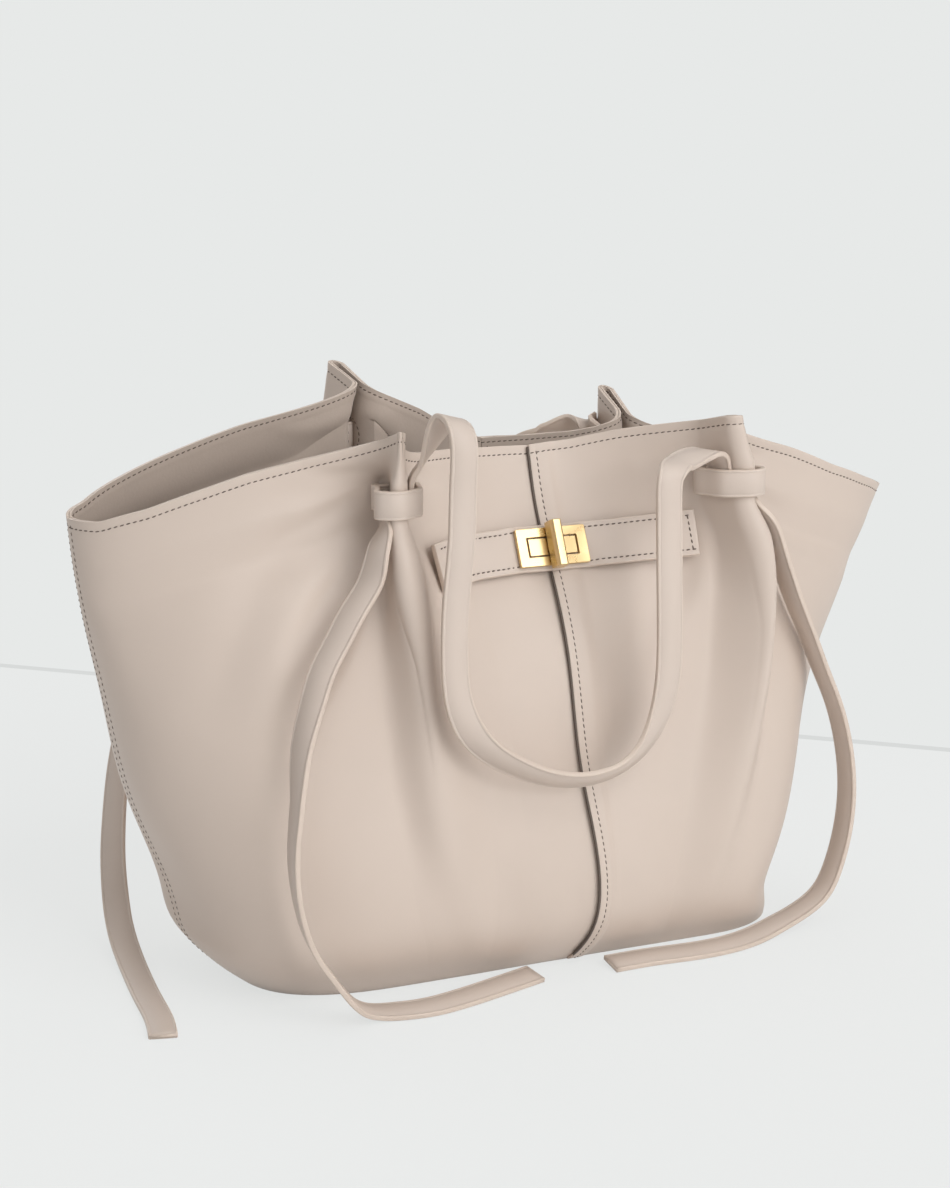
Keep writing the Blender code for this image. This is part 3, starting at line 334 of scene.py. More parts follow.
def unit(vectors: Array) -> Array:
    """Scale vectors to length 1."""
    return vectors / np.maximum(np.linalg.norm(vectors, axis=-1, keepdims=True), TINY)


# Shape of the leather

AT_BAND = np.array([BAND_LEVEL])


def turns_at(places: Array) -> Array:
    """Turns on the fold, from 1 on the centre side to -1 on the wing side, at places from 1 to 2."""
    return 3.0 - 2.0 * places


def places_at(turns: Array) -> Array:
    """Places on the fold at turns from 1 to -1."""
    return (3.0 - turns) / 2


class FoldFrame(NamedTuple):
    """Plan of one fold at some levels."""

    root: Array
    tip: Array
    half: Array
    tight: Array


@dataclass(frozen=True)
class BagShape:
    """Outer face of the leather as a function of place and level.

    Places run from 0 at the centre seam, through 1 to 2 on the fold, to 3 at the side seam.
    """

    sizes: BagSizes = SIZES
    nose_share: float = 0.12
    fold_flare: float = 0.005
    flare_start: float = 0.75
    centre_power: float = 2.0
    level_softening: float = 0.045
    pinch_softening: float = 0.012
    rim_softening: float = 0.045

    def fold_frame(self, quarter: Quarter, levels: Array) -> FoldFrame:
        """Plan of the fold; it stands upright where the band holds it.

        Args:
            quarter: Quarter to read.
            levels: Levels to read.

        Returns:
            The fold's root, tip, half thickness and tightness at each level.
        """
        warped = softened(PINCH_LEVELS, PINCH_READ_LEVELS, levels, self.pinch_softening)
        warped = np.clip(warped, 0.0, 1.0)
        rows = np.stack([quarter.root_reach, quarter.root_depth, quarter.tip_reach, quarter.tip_depth], -1)
        read = natural_spline(LEVELS, rows, warped)
        scale = np.array([quarter.side * self.sizes.half_span, quarter.face * self.sizes.belly_depth])
        half = softened(LEVELS, quarter.fold_half, warped, self.level_softening)
        tight = softened(LEVELS, TIGHTNESS, warped, self.level_softening)
        return FoldFrame(read[:, :2] * scale, read[:, 2:] * scale, half * self.sizes.belly_depth, tight)

    def fold_offsets(self, plan: FoldFrame, turns: Array) -> tuple[Array, Array]:
        """Outward share and sideways length at each level and turn.

        Args:
            plan: Fold's plan at the levels.
            turns: Turns from 1 on the centre side to -1 on the wing side.

        Returns:
            Two grids, levels by turns.
        """
        depth = np.linalg.norm(plan.tip - plan.root, axis=1)[:, None]
        half, tight = plan.half[:, None], plan.tight[:, None]
        part = np.abs(turns)[None, :]
        straight = np.maximum(depth - half, 0.0)
        angle = np.minimum(part / self.nose_share, 1.0) * math.pi / 2
        run = straight * (1 - (part - self.nose_share) / (1 - self.nose_share))
        out_tight = np.where(part < self.nose_share, straight + half * np.cos(angle), run)
        flare = np.clip((part - self.flare_start) / (1 - self.flare_start), 0.0, None)
        side_tight = np.where(part < self.nose_share, half * np.sin(angle), half + self.fold_flare * flare**2)
        out_wide = depth * np.cos(part * math.pi / 2) ** 2
        out = tight * out_tight + (1 - tight) * out_wide
        sideways = tight * side_tight + (1 - tight) * half * part
        return out / np.maximum(depth, TINY), sideways * np.sign(turns)[None, :]

    def fold_plan(self, quarter: Quarter, levels: Array, turns: Array) -> Array:
        """Plan positions on the fold.

        Args:
            quarter: Quarter to read.
            levels: Levels to read.
            turns: Turns to read.

        Returns:
            A grid, levels by turns by 2.
        """
        plan = self.fold_frame(quarter, levels)
        out, sideways = self.fold_offsets(plan, turns)
        spots = plan.root[:, None] + (plan.tip - plan.root)[:, None] * out[..., None]
        spots[..., 0] -= quarter.side * sideways
        return spots

    def plan(self, quarter: Quarter, places: Array, levels: Array) -> Array:
        """Plan positions of the leather.

        Args:
            quarter: Quarter to read.
            places: Places across the quarter.
            levels: Levels up the quarter.

        Returns:
            A grid, levels by places by 2.
        """
        result = np.zeros((len(levels), len(places), 2))
        centre, wing = places < FOLD_START, places > FOLD_END
        fold = ~centre & ~wing
        belly = self.sizes.belly_depth
        seam_depth = natural_spline(LEVELS, quarter.seam_depth, levels) * belly * quarter.face
        drift = natural_spline(LEVELS, SEAM_DRIFT, levels) * self.sizes.seam_drift
        end = self.fold_plan(quarter, levels, np.array([1.0]))[:, 0]
        at = places[centre][None, :]
        result[:, centre, 0] = drift[:, None] + (end[:, :1] - drift[:, None]) * at
        seam_depth = seam_depth[:, None]
        result[:, centre, 1] = seam_depth + (end[:, 1:] - seam_depth) * at**self.centre_power
        result[:, fold] = self.fold_plan(quarter, levels, turns_at(places[fold]))
        start = self.fold_plan(quarter, levels, np.array([-1.0]))[:, 0]
        reach = natural_spline(LEVELS, quarter.wing_reach, levels) * self.sizes.half_span * quarter.side
        depth = natural_spline(LEVELS, quarter.wing_depth, levels) * belly * quarter.face
        angle = np.clip(places[wing] - FOLD_END, 0.0, 1.0)[None, :] * math.pi / 2
        power = 2 / softened(LEVELS, quarter.powers, levels, self.level_softening)[:, None]
        along = np.sin(angle) ** power
        inward = np.maximum(np.cos(angle), 0.0) ** power
        result[:, wing, 0] = start[:, :1] + (reach[:, None] - start[:, :1]) * along
        result[:, wing, 1] = depth[:, None] + (start[:, 1:] - depth[:, None]) * inward
        return result

    def heights(self, quarter: Quarter, places: Array, levels: Array) -> Array:
        """Heights of the leather.

        Args:
            quarter: Quarter to read.
            places: Places to read.
            levels: Levels to read.

        Returns:
            A grid, levels by places.
        """
        even = list(quarter.rim)
        tip = even[RIM_PLACES.index(FOLD_TIP)]
        even[RIM_PLACES.index(FOLD_START)] = even[RIM_PLACES.index(FOLD_END)] = tip
        height = self.sizes.rim_height
        rim = softened(RIM_PLACES, quarter.rim, places, self.rim_softening)[None, :] * height
        even = softened(RIM_PLACES, even, places, self.rim_softening)[None, :] * height
        top = SLIT_LEVELS[1]
        at = levels[:, None]
        above = np.clip(at - top, 0.0, None) / (1 - top)
        return even * np.minimum(at, top) + (rim - even * top) * above

    def surface(self, quarter: Quarter, places: Array, levels: Array) -> Array:
        """Positions of the leather.

        Args:
            quarter: Quarter to read.
            places: Places to read.
            levels: Levels to read.

        Returns:
            A grid, levels by places by 3.
        """
        places, levels = np.atleast_1d(places).astype(float), np.atleast_1d(levels).astype(float)
        plan = self.plan(quarter, places, levels)
        return np.concatenate([plan, self.heights(quarter, places, levels)[..., None]], -1)

    def spot(self, quarter: Quarter, place: float, level: float) -> Array:
        """One position on the leather."""
        return self.surface(quarter, np.array([place]), np.array([level]))[0, 0]

    def outward(self, quarter: Quarter, place: float, level: float, step: float = 0.002) -> Array:
        """Outward direction at one place and level.

        Args:
            quarter: Quarter to read.
            place: Place across the quarter.
            level: Level up the quarter.
            step: Distance to the neighbours that are read.

        Returns:
            The direction, of length one.
        """
        places = np.array([max(place - step, 0.0), min(place + step, SIDE_SEAM)])
        levels = np.array([max(level - step, 0.0), min(level + step, 1.0)])
        grid = self.surface(quarter, places, levels)
        across = grid[0, 1] - grid[0, 0] + grid[1, 1] - grid[1, 0]
        rise = grid[1, 0] - grid[0, 0] + grid[1, 1] - grid[0, 1]
        return unit(np.cross(across, rise) * -quarter.side * quarter.face)

    def beside_fold(self, quarter: Quarter, out: float, sideways: float) -> Array:
        """Spot beside the fold where the band sits.

        Args:
            quarter: Quarter to read.
            out: Distance from the fold's root.
            sideways: Distance off the fold's face, positive towards the centre.

        Returns:
            The position.
        """
        direction, _, half = self.fold_run(quarter)
        reach = math.copysign(half + abs(sideways) / abs(direction[1]), sideways) if sideways else 0.0
        height = self.sizes.rim_height * quarter.rim[RIM_PLACES.index(FOLD_TIP)] * BAND_LEVEL
        root = np.array([*self.fold_frame(quarter, AT_BAND).root[0], height])
        return root + direction * out - ACROSS * (quarter.side * reach)

    def fold_run(self, quarter: Quarter) -> tuple[Array, float, float]:
        """Read the fold where the band sits.

        Args:
            quarter: Quarter to read.

        Returns:
            Level direction of the fold, its depth and its half thickness.
        """
        plan = self.fold_frame(quarter, AT_BAND)
        run = plan.tip[0] - plan.root[0]
        depth = float(np.linalg.norm(run))
        return np.array([run[0], run[1], 0.0]) / depth, depth, float(plan.half[0])

    def slit_out(self, quarter: Quarter, slit_turn: float) -> float:
        """Read how far out the slit is.

        Args:
            quarter: Quarter to read.
            slit_turn: Turn of the slit's middle.

        Returns:
            Distance of the slit from the fold's root.
        """
        plan = self.fold_frame(quarter, AT_BAND)
        out, _ = self.fold_offsets(plan, np.array([slit_turn]))
        return float(out[0, 0]) * self.fold_run(quarter)[1]


SHAPE = BagShape()




# Shader graphs and finishes


class Value:
    """A node socket that takes part in arithmetic."""

    def __init__(self, graph: "Graph", socket: bpy.types.NodeSocket) -> None:
        """Keep the graph and the socket."""
        self.graph = graph
        self.socket = socket

    def _math(self, operation: str, other: "Value | float") -> "Value":
        """Add a Math node on this value and another."""
        return self.graph.out("ShaderNodeMath", {0: self, 1: other}, {"operation": operation})

    def __add__(self, other: "Value | float") -> "Value":
        """Sum."""
        return self._math("ADD", other)

    def __mul__(self, other: "Value | float") -> "Value":
        """Product."""
        return self._math("MULTIPLY", other)

    def most(self, other: "Value | float") -> "Value":
        """Larger of two values."""
        return self._math("MAXIMUM", other)


class Graph:
    """Shader graph of one material."""

    def __init__(self, name: str) -> None:
        """Make the material and empty its graph.

        Args:
            name: Material name.
        """
        self.material = bpy.data.materials.new(name)
        self.material.use_nodes = True
        self.tree = self.material.node_tree
        self.tree.nodes.clear()
        self.output = self.tree.nodes.new("ShaderNodeOutputMaterial")

    def node(self, kind: str, inputs: dict | None = None, settings: dict | None = None) -> bpy.types.Node:
        """Add a node.

        Args:
            kind: Node type.
            inputs: Values or links by socket name or number.
            settings: Attributes, set first.

        Returns:
            The node.
        """
        node = self.tree.nodes.new(kind)
        for name, value in (settings or {}).items():
            setattr(node, name, value)
        for name, value in (inputs or {}).items():
            if isinstance(value, Value):
                self.tree.links.new(value.socket, node.inputs[name])
            else:
                node.inputs[name].default_value = value
        return node

    def out(self, kind: str, inputs: dict, settings: dict | None = None) -> Value:
        """Add a node and wrap its first output."""
        return Value(self, self.node(kind, inputs, settings).outputs[0])

    def place(self) -> Value:
        """Object coordinates."""
        return Value(self, self.node("ShaderNodeTexCoord").outputs["Object"])

    def noise(self, place: Value, scale: float, detail: float) -> Value:
        """Smooth noise from 0 to 1."""
        return self.out("ShaderNodeTexNoise", {"Vector": place, "Scale": scale, "Detail": detail})

    def cells(self, place: Value, scale: float) -> Value:
        """Distance to the nearest cell centre."""
        return self.out("ShaderNodeTexVoronoi", {"Vector": place, "Scale": scale})

    def mottled(self, share: Value, colour: Colour, darker: float, lighter: float) -> Value:
        """Mottle a colour.

        Args:
            share: Value that runs from 0 to 1.
            colour: Middle colour.
            darker: Share taken off at 0.
            lighter: Share added at 1.

        Returns:
            The mottled colour.
        """
        node = self.node("ShaderNodeMix", {0: share}, {"data_type": "RGBA"})
        for socket, change in ((6, -darker), (7, lighter)):
            changed = (min(channel * (1 + change), 1.0) for channel in colour)
            node.inputs[socket].default_value = (*changed, 1.0)
        return Value(self, node.outputs[2])

    def bump(self, height: Value, strength: float, distance: float) -> Value:
        """Bumped normal."""
        return self.out("ShaderNodeBump", {"Height": height, "Strength": strength, "Distance": distance})

    def finish(self, shader: bpy.types.Node) -> bpy.types.Material:
        """Join a shader to the output and give the material back."""
        self.tree.links.new(shader.outputs[0], self.output.inputs["Surface"])
        return self.material

    def principled(self, inputs: dict) -> bpy.types.Material:
        """Finish the material with one Principled shader."""
        return self.finish(self.node("ShaderNodeBsdfPrincipled", inputs))


@dataclass(frozen=True)
class LeatherFinish:
    """Leather with fine pores, soft mottling and a gentle sheen."""

    name: str
    colour: Colour
    roughness: float = 0.46
    specular: float = 0.42
    mottling: float = 0.045
    broad_scale: float = 14.0
    ripple_scale: float = 190.0
    pore_scale: float = 1300.0
    detail: float = 3.0
    broad_spread: float = 0.10
    ripple_spread: float = 0.08
    pore_share: float = 0.6
    ripple_share: float = 0.8
    pore_height: float = 0.00005
    pore_strength: float = 0.32

    def make(self) -> bpy.types.Material:
        """Make the material.

        Returns:
            The material.
        """
        graph = Graph(self.name)
        place = graph.place()
        broad = graph.noise(place, self.broad_scale, self.detail)
        ripple = graph.noise(place, self.ripple_scale, self.detail)
        pores = graph.cells(place, self.pore_scale)
        least = self.roughness - (self.broad_spread + self.ripple_spread) / 2
        relief = pores * self.pore_share + ripple * self.ripple_share
        inputs = {
            "Base Color": graph.mottled(broad, self.colour, self.mottling, self.mottling),
            "Roughness": broad * self.broad_spread + ripple * self.ripple_spread + least,
            "Normal": graph.bump(relief, self.pore_strength, self.pore_height),
            "Specular IOR Level": self.specular,
        }
        return graph.principled(inputs)


@dataclass(frozen=True)
class NapFinish:
    """Brushed inner leather with a soft nap."""

    name: str
    colour: Colour
    roughness: float = 0.82
    roughness_spread: float = 0.08
    specular: float = 0.25
    mottling: float = 0.10
    cloud_scale: float = 28.0
    cloud_share: float = 0.7
    nap_scale: float = 700.0
    nap_share: float = 0.3
    nap_height: float = 0.00015
    nap_strength: float = 0.5
    detail: float = 4.0
    sheen: float = 0.25
    sheen_roughness: float = 0.5
    sheen_tint: Colour = (1.0, 0.94, 0.88)

    def make(self) -> bpy.types.Material:
        """Make the material.

        Returns:
            The material.
        """
        graph = Graph(self.name)
        place = graph.place()
        cloud = graph.noise(place, self.cloud_scale, self.detail)
        nap = graph.noise(place, self.nap_scale, self.detail)
        share = cloud * self.cloud_share + nap * self.nap_share
        inputs = {
            "Base Color": graph.mottled(share, self.colour, self.mottling, self.mottling),
            "Roughness": nap * self.roughness_spread + (self.roughness - self.roughness_spread / 2),
            "Normal": graph.bump(nap, self.nap_strength, self.nap_height),
            "Specular IOR Level": self.specular,
            "Sheen Weight": self.sheen,
            "Sheen Roughness": self.sheen_roughness,
            "Sheen Tint": (*self.sheen_tint, 1.0),
        }
        return graph.principled(inputs)


@dataclass(frozen=True)
class GoldFinish:
    """Smooth gold-coloured plating, softly uneven in shine."""

    name: str
    colour: Colour
    least_roughness: float = 0.21
    roughness_spread: float = 0.16
    cloud_scale: float = 160.0
    detail: float = 3.0
    darker: float = 0.06
    lighter: float = 0.04

    def make(self) -> bpy.types.Material:
        """Make the material.

        Returns:
            The material.
        """
        graph = Graph(self.name)
        cloud = graph.noise(graph.place(), self.cloud_scale, self.detail)
        inputs = {
            "Base Color": graph.mottled(cloud, self.colour, self.darker, self.lighter),
            "Roughness": cloud * self.roughness_spread + self.least_roughness,
            "Metallic": 1.0,
        }
        return graph.principled(inputs)


@dataclass(frozen=True)
class ThreadFinish:
    """Twisted sewing thread."""

    name: str
    colour: Colour
    roughness: float = 0.7
    mottling: float = 0.2
    twist_scale: float = 2400.0
    twist_height: float = 0.0001
    twist_strength: float = 0.4
    detail: float = 1.0

    def make(self) -> bpy.types.Material:
        """Make the material.

        Returns:
            The material.
        """
        graph = Graph(self.name)
        twist = graph.noise(graph.place(), self.twist_scale, self.detail)
        inputs = {
            "Base Color": graph.mottled(twist, self.colour, self.mottling, self.mottling),
            "Roughness": self.roughness,
            "Normal": graph.bump(twist, self.twist_strength, self.twist_height),
        }
        return graph.principled(inputs)


@dataclass(frozen=True)
class BackdropFinish:
    """Plain pale surface that keeps the bag's soft shadow."""

    name: str
    colour: Colour
    seen: Colour
    seen_share: float
    roughness: float = 0.9
    specular: float = 0.1

    def make(self) -> bpy.types.Material:
        """Make the material; what is seen of it is lifted towards its own pale colour.

        Returns:
            The material.
        """
        graph = Graph(self.name)
        inputs = {"Base Color": (*self.colour, 1.0), "Roughness": self.roughness}
        lit = graph.out("ShaderNodeBsdfPrincipled", inputs | {"Specular IOR Level": self.specular})
        glow = graph.out("ShaderNodeEmission", {"Color": (*self.seen, 1.0), "Strength": 1.0})
        rays = graph.node("ShaderNodeLightPath")
        kinds = ("Is Camera Ray", "Is Glossy Ray", "Is Transmission Ray")
        camera, glossy, through = (Value(graph, rays.outputs[kind]) for kind in kinds)
        share = camera.most(glossy).most(through) * self.seen_share
        return graph.finish(graph.node("ShaderNodeMixShader", {0: share, 1: lit, 2: glow}))


class Finishes:
    """All the bag's materials."""

    def __init__(self) -> None:
        """Make each material once."""
        edge_colour = (0.640, 0.535, 0.455)
        self.outer = LeatherFinish("taupe_outer_leather", (0.600, 0.505, 0.436)).make()
        self.strap = LeatherFinish("taupe_strap_leather", (0.605, 0.512, 0.445), roughness=0.5).make()
        self.edge = LeatherFinish(
            "painted_cut_edge", edge_colour, roughness=0.42, mottling=0.02, pore_strength=0.1
        ).make()
        # Dark strip beside the centre seam: partly the lap's dark edge paint, partly painted shadow under the
        # lap's edge.
        self.seam = LeatherFinish("dark_edge_and_painted_seam_shadow", (0.110, 0.085, 0.070), roughness=0.6, mottling=0.1).make()
        self.lining = NapFinish("brown_inner_leather", (0.455, 0.375, 0.318)).make()
        self.thread = ThreadFinish("taupe_thread", (0.150, 0.115, 0.092)).make()
        # Near-black discs at the needle holes: painted shade of the holes.
        self.hole = ThreadFinish("needle_hole_painted_shade", (0.040, 0.030, 0.025)).make()
        self.gold = GoldFinish("gold_plating", (0.800, 0.605, 0.320)).make()
        self.card = NapFinish("grey_card", (0.42, 0.36, 0.30)).make()


# Meshes


@dataclass
class MeshMaker:
    """Makes the bag's pieces in its finishes and hands them to the frame."""

    finishes: Finishes

    def mesh(
        self,
        name: str,
        vertices: Array,
        faces: Sequence[Sequence[int]],
        materials: Sequence[bpy.types.Material],
        picks: Sequence[int] | None = None,
        closed: bool = False,
    ) -> bpy.types.Object:
        """Make one smooth-shaded mesh object in the bag's place.

        Args:
            name: Piece name.
            vertices: Positions in the drawing's frame.
            faces: Corner numbers of each face.
            materials: Materials in order.
            picks: Material number of each face.
            closed: Whether face directions are made to point outwards.

        Returns:
            The object.
        """
        data = bpy.data.meshes.new(name)
        data.from_pydata((np.asarray(vertices) + SIZES.shift).tolist(), [], [list(face) for face in faces])
        for material in materials:
            data.materials.append(material)
        if picks is not None:
            data.polygons.foreach_set("material_index", np.asarray(picks, dtype=np.int32))
        data.polygons.foreach_set("use_smooth", np.ones(len(data.polygons), dtype=bool))
        if closed:
            shape = bmesh.new()
            shape.from_mesh(data)
            bmesh.ops.recalc_face_normals(shape, faces=shape.faces)
            shape.to_mesh(data)
            shape.free()
        data.update()
        item = bpy.data.objects.new(name, data)
        bpy.context.scene.collection.objects.link(item)
        return item

    def hand_over(self, item: bpy.types.Object, hold: Hold, slot: Slot, *nodes: str) -> None:
        """Attach the piece to the body it rides on and hide the nodes it stands for.

        Args:
            item: Piece.
            hold: Body that it rides on.
            slot: Record slot; not used.
            *nodes: Nodes that it stands for.
        """
        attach(item, hold.value)
        if nodes:
            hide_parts(*nodes)
        LOG.info("made %s with %d faces", item.name, len(item.data.polygons))


def ring_faces(rings: int, corners: int, looped: bool = False) -> list[list[int]]:
    """Quads between rings of matching points.

    Args:
        rings: Number of rings.
        corners: Points in each ring.
        looped: Whether the last ring is joined to the first.

    Returns:
        Corner numbers of each quad, ring by ring.
    """
    faces = []
    for ring in range(rings if looped else rings - 1):
        low, high = ring * corners, (ring + 1) % rings * corners
        for here in range(corners):
            beside = (here + 1) % corners
            faces.append([low + here, low + beside, high + beside, high + here])
    return faces


def soften_edges(item: bpy.types.Object, width: float, segments: int = 2, angle: float = 40.0) -> None:
    """Round a piece's sharp edges.

    Args:
        item: Piece.
        width: Width of the rounding.
        segments: Steps round it.
        angle: Smallest turn, in degrees, that is rounded.
    """
    bevel = item.modifiers.new("rounded_edges", "BEVEL")
    bevel.width = width
    bevel.segments = segments
    bevel.limit_method = "ANGLE"
    bevel.angle_limit = math.radians(angle)
    bevel.use_clamp_overlap = True


def thicken(item: bpy.types.Object, thickness: float) -> None:
    """Give a sheet its thickness behind its face, with its second material on the cut edge.

    Args:
        item: Sheet.
        thickness: Thickness of the leather.
    """
    shell = item.modifiers.new("thickness", "SOLIDIFY")
    shell.thickness = thickness
    shell.offset = -1.0
    shell.use_quality_normals = True
    shell.material_offset_rim = 1


class Crease(NamedTuple):
    """A soft valley pressed into the leather, through places and levels of a quarter."""

    places: tuple
    levels: tuple
    width: float
    depth: float


class LeatherGrid:
    """Grid of points on a face of leather, with outward directions."""

    crease_steps = 6
    crease_fade = 0.8

    def __init__(self, points: Array, sign: float) -> None:
        """Keep the points and work out their outward directions.

        Args:
            points: Grid, rows by columns by 3.
            sign: Turns the directions outwards.
        """
        self.points = points
        self.sign = sign
        across = np.gradient(points, axis=1)
        rise = np.gradient(points, axis=0)
        self.normals = unit(np.cross(across, rise) * sign)

    def pressed(self, amount: Array) -> "LeatherGrid":
        """The grid moved inwards by an amount at each point."""
        return LeatherGrid(self.points - self.normals * amount[..., None], self.sign)

    def inside(self, inset: float) -> Array:
        """Points a steady distance behind the face."""
        return self.points - self.normals * inset

    def below_rim(self) -> Array:
        """Measure down from the top edge.

        Returns:
            Distance of each point from the top edge along its column.
        """
        steps = np.linalg.norm(np.diff(self.points[::-1], axis=0), axis=-1)
        travelled = np.concatenate([np.zeros((1, steps.shape[1])), np.cumsum(steps, axis=0)])
        return travelled[::-1]

    def from_column(self, column: int) -> Array:
        """Measure across from one column.

        Args:
            column: Column to start from.

        Returns:
            Distance of each point from the column along its row.
        """
        steps = np.linalg.norm(np.diff(self.points, axis=1), axis=-1)
        travelled = np.concatenate([np.zeros((steps.shape[0], 1)), np.cumsum(steps, axis=1)], axis=1)
        return np.abs(travelled - travelled[:, column : column + 1])

    def creased(self, quarter: Quarter, creases: Sequence[Crease]) -> "LeatherGrid":
        """Press a quarter's valleys into the grid.

        Args:
            quarter: Quarter that the grid belongs to.
            creases: Valleys in order.

        Returns:
            The creased grid.
        """
        amount = np.zeros(self.points.shape[:2])
        for crease in creases:
            knots = [SHAPE.spot(quarter, place, level) for place, level in zip(crease.places, crease.levels)]
            line = smooth_path(np.array(knots), self.crease_steps)
            travelled = arc_lengths(line) / arc_lengths(line)[-1]
            distance = np.full(amount.shape, np.inf)
            along = np.zeros(amount.shape)
            for start, end, low, high in zip(line[:-1], line[1:], travelled[:-1], travelled[1:]):
                run = end - start
                share = np.clip(((self.points - start) @ run) / float(run @ run), 0.0, 1.0)
                away = np.linalg.norm(self.points - start - share[..., None] * run, axis=-1)
                closer = away < distance
                distance = np.where(closer, away, distance)
                along = np.where(closer, low + (high - low) * share, along)
            fade = np.sin(np.clip(along, 0.0, 1.0) * math.pi) ** self.crease_fade
            amount += crease.depth * fade * np.exp(-((distance / crease.width) ** 2))
        return self.pressed(amount)

    def line_at(self, runs: Sequence[tuple[Array, Array, Array]], distance: float) -> tuple[Array, Array]:
        """Points and directions at a distance along several runs of the grid.

        Args:
            runs: Distances, points and directions of each run.
            distance: Distance to read.

        Returns:
            One point and one direction per run.
        """
        query = np.array([distance])
        points = [read_along(travelled, points, query)[0] for travelled, points, _ in runs]
        normals = [read_along(travelled, normals, query)[0] for travelled, _, normals in runs]
        return np.array(points), unit(np.array(normals))

    def row_at(self, distance: float) -> tuple[Array, Array]:
        """Points and directions a distance below the top edge, one per column."""
        grids = (self.below_rim(), self.points, self.normals)
        return self.line_at([[grid[::-1, n] for grid in grids] for n in range(grids[0].shape[1])], distance)

    def column_at(self, column: int, distance: float) -> tuple[Array, Array]:
        """Read a line beside a column.

        Args:
            column: First or last column.
            distance: Distance from it.

        Returns:
            One point and one direction per row.
        """
        grids = (self.from_column(column), self.points, self.normals)
        forward = column < grids[0].shape[1] // 2
        part = slice(column, None) if forward else slice(column, None, -1)
        return self.line_at([[grid[n, part] for grid in grids] for n in range(grids[0].shape[0])], distance)

    def faces(self, holes: set[tuple[int, int]]) -> list[list[int]]:
        """Join the grid into quads that face outwards.

        Args:
            holes: Cells left out, by row and column.

        Returns:
            Corner numbers of each quad.
        """
        rows, columns = self.points.shape[:2]
        result = []
        for row in range(rows - 1):
            for column in range(columns - 1):
                if (row, column) in holes:
                    continue
                first = row * columns + column
                quad = [first, first + 1, first + columns + 1, first + columns]
                result.append(quad if self.sign > 0 else quad[::-1])
        return result


@dataclass(frozen=True)
class StitchRow:
    """Row of sewn stitches, with near-black discs of painted shade at their needle holes."""

    spacing: float = 0.0034
    length: float = 0.0016
    radius: float = 0.00042
    sink: float = 0.00004
    hole_share: float = 0.7
    slant: float = 0.10
    sides: int = 6
    ring_runs: tuple = (-0.5, -0.38, 0.0, 0.38, 0.5)
    ring_shares: tuple = (0.35, 0.85, 1.0, 0.85, 0.35)

    def spread(self, lines: Sequence[tuple[Array, Array]]) -> tuple[Array, Array, Array]:
        """Spread stitches evenly along lines.

        Args:
            lines: Pairs of path points and outward directions.

        Returns:
            Middle, run and outward direction of every stitch.
        """
        centres, runs, outs = [], [], []
        half = self.length / 2
        for points, normals in lines:
            travelled = arc_lengths(points)
            count = max(int((travelled[-1] - self.length) / self.spacing), 1)
            spare = travelled[-1] - count * self.spacing
            at = np.clip(spare / 2 + self.spacing * np.arange(count + 1), half, travelled[-1] - half)
            before, after = read_along(travelled, points, at - half), read_along(travelled, points, at + half)
            centres.append((before + after) / 2)
            runs.append(unit(after - before))
            outs.append(unit(read_along(travelled, normals, at)))
        return np.concatenate(centres), np.concatenate(runs), np.concatenate(outs)

    def stitch(self, centre: Array, run: Array, out: Array, beside: Array) -> list[Array]:
        """Points of one stitch and its two needle-hole discs, which carry painted shade.

        Args:
            centre: Middle of the stitch on the leather.
            run: Direction along the stitch.
            out: Direction out of the leather.
            beside: Direction across the stitch.

        Returns:
            Rings of points, each with the same number of sides.
        """
        angles = np.linspace(0, 2 * math.pi, self.sides, endpoint=False)
        points = []
        middle = centre - out * self.sink
        for along, share in zip(self.ring_runs, self.ring_shares):
            drop = out * self.radius * (share - 1)
            for angle in angles:
                turn = beside * math.cos(angle) + out * math.sin(angle)
                points.append(middle + run * along * self.length + drop + turn * self.radius * share)
        for end in -1, 1:
            spot = centre + run * end * self.length * 0.5 + out * self.sink
            for angle in angles:
                turn = beside * math.cos(angle) + run * math.sin(angle)
                points.append(spot + turn * self.radius * self.hole_share)
        return points

    def make(self, maker: MeshMaker, name: str, lines: Sequence[tuple[Array, Array]], slot: Slot) -> None:
        """Sew stitches along lines on the bag.

        Args:
            maker: Mesh maker.
            name: Piece name.
            lines: Pairs of path points and outward directions.
            slot: Record slot.
        """
        centres, runs, outs = self.spread(lines)
        runs = unit(runs + unit(np.cross(outs, runs)) * self.slant)
        besides = unit(np.cross(outs, runs))
        rings = len(self.ring_runs)
        around = np.arange(self.sides)
        start, end, *holes = (around + ring * self.sides for ring in (0, rings - 1, rings, rings + 1))
        solid = ring_faces(rings, self.sides) + [start[::-1], end]
        vertices, faces = [], []
        for stitch in zip(centres, runs, outs, besides):
            faces += [[len(vertices) + int(n) for n in face] for face in solid + holes]
            vertices += self.stitch(*stitch)
        # The needle-hole discs take the near-black painted shade.
        picks = ([0] * len(solid) + [1, 1]) * len(centres)
        materials = [maker.finishes.thread, maker.finishes.hole]
        maker.hand_over(maker.mesh(name, np.array(vertices), faces, materials, picks), Hold.BAG, slot)


STITCHES = StitchRow()


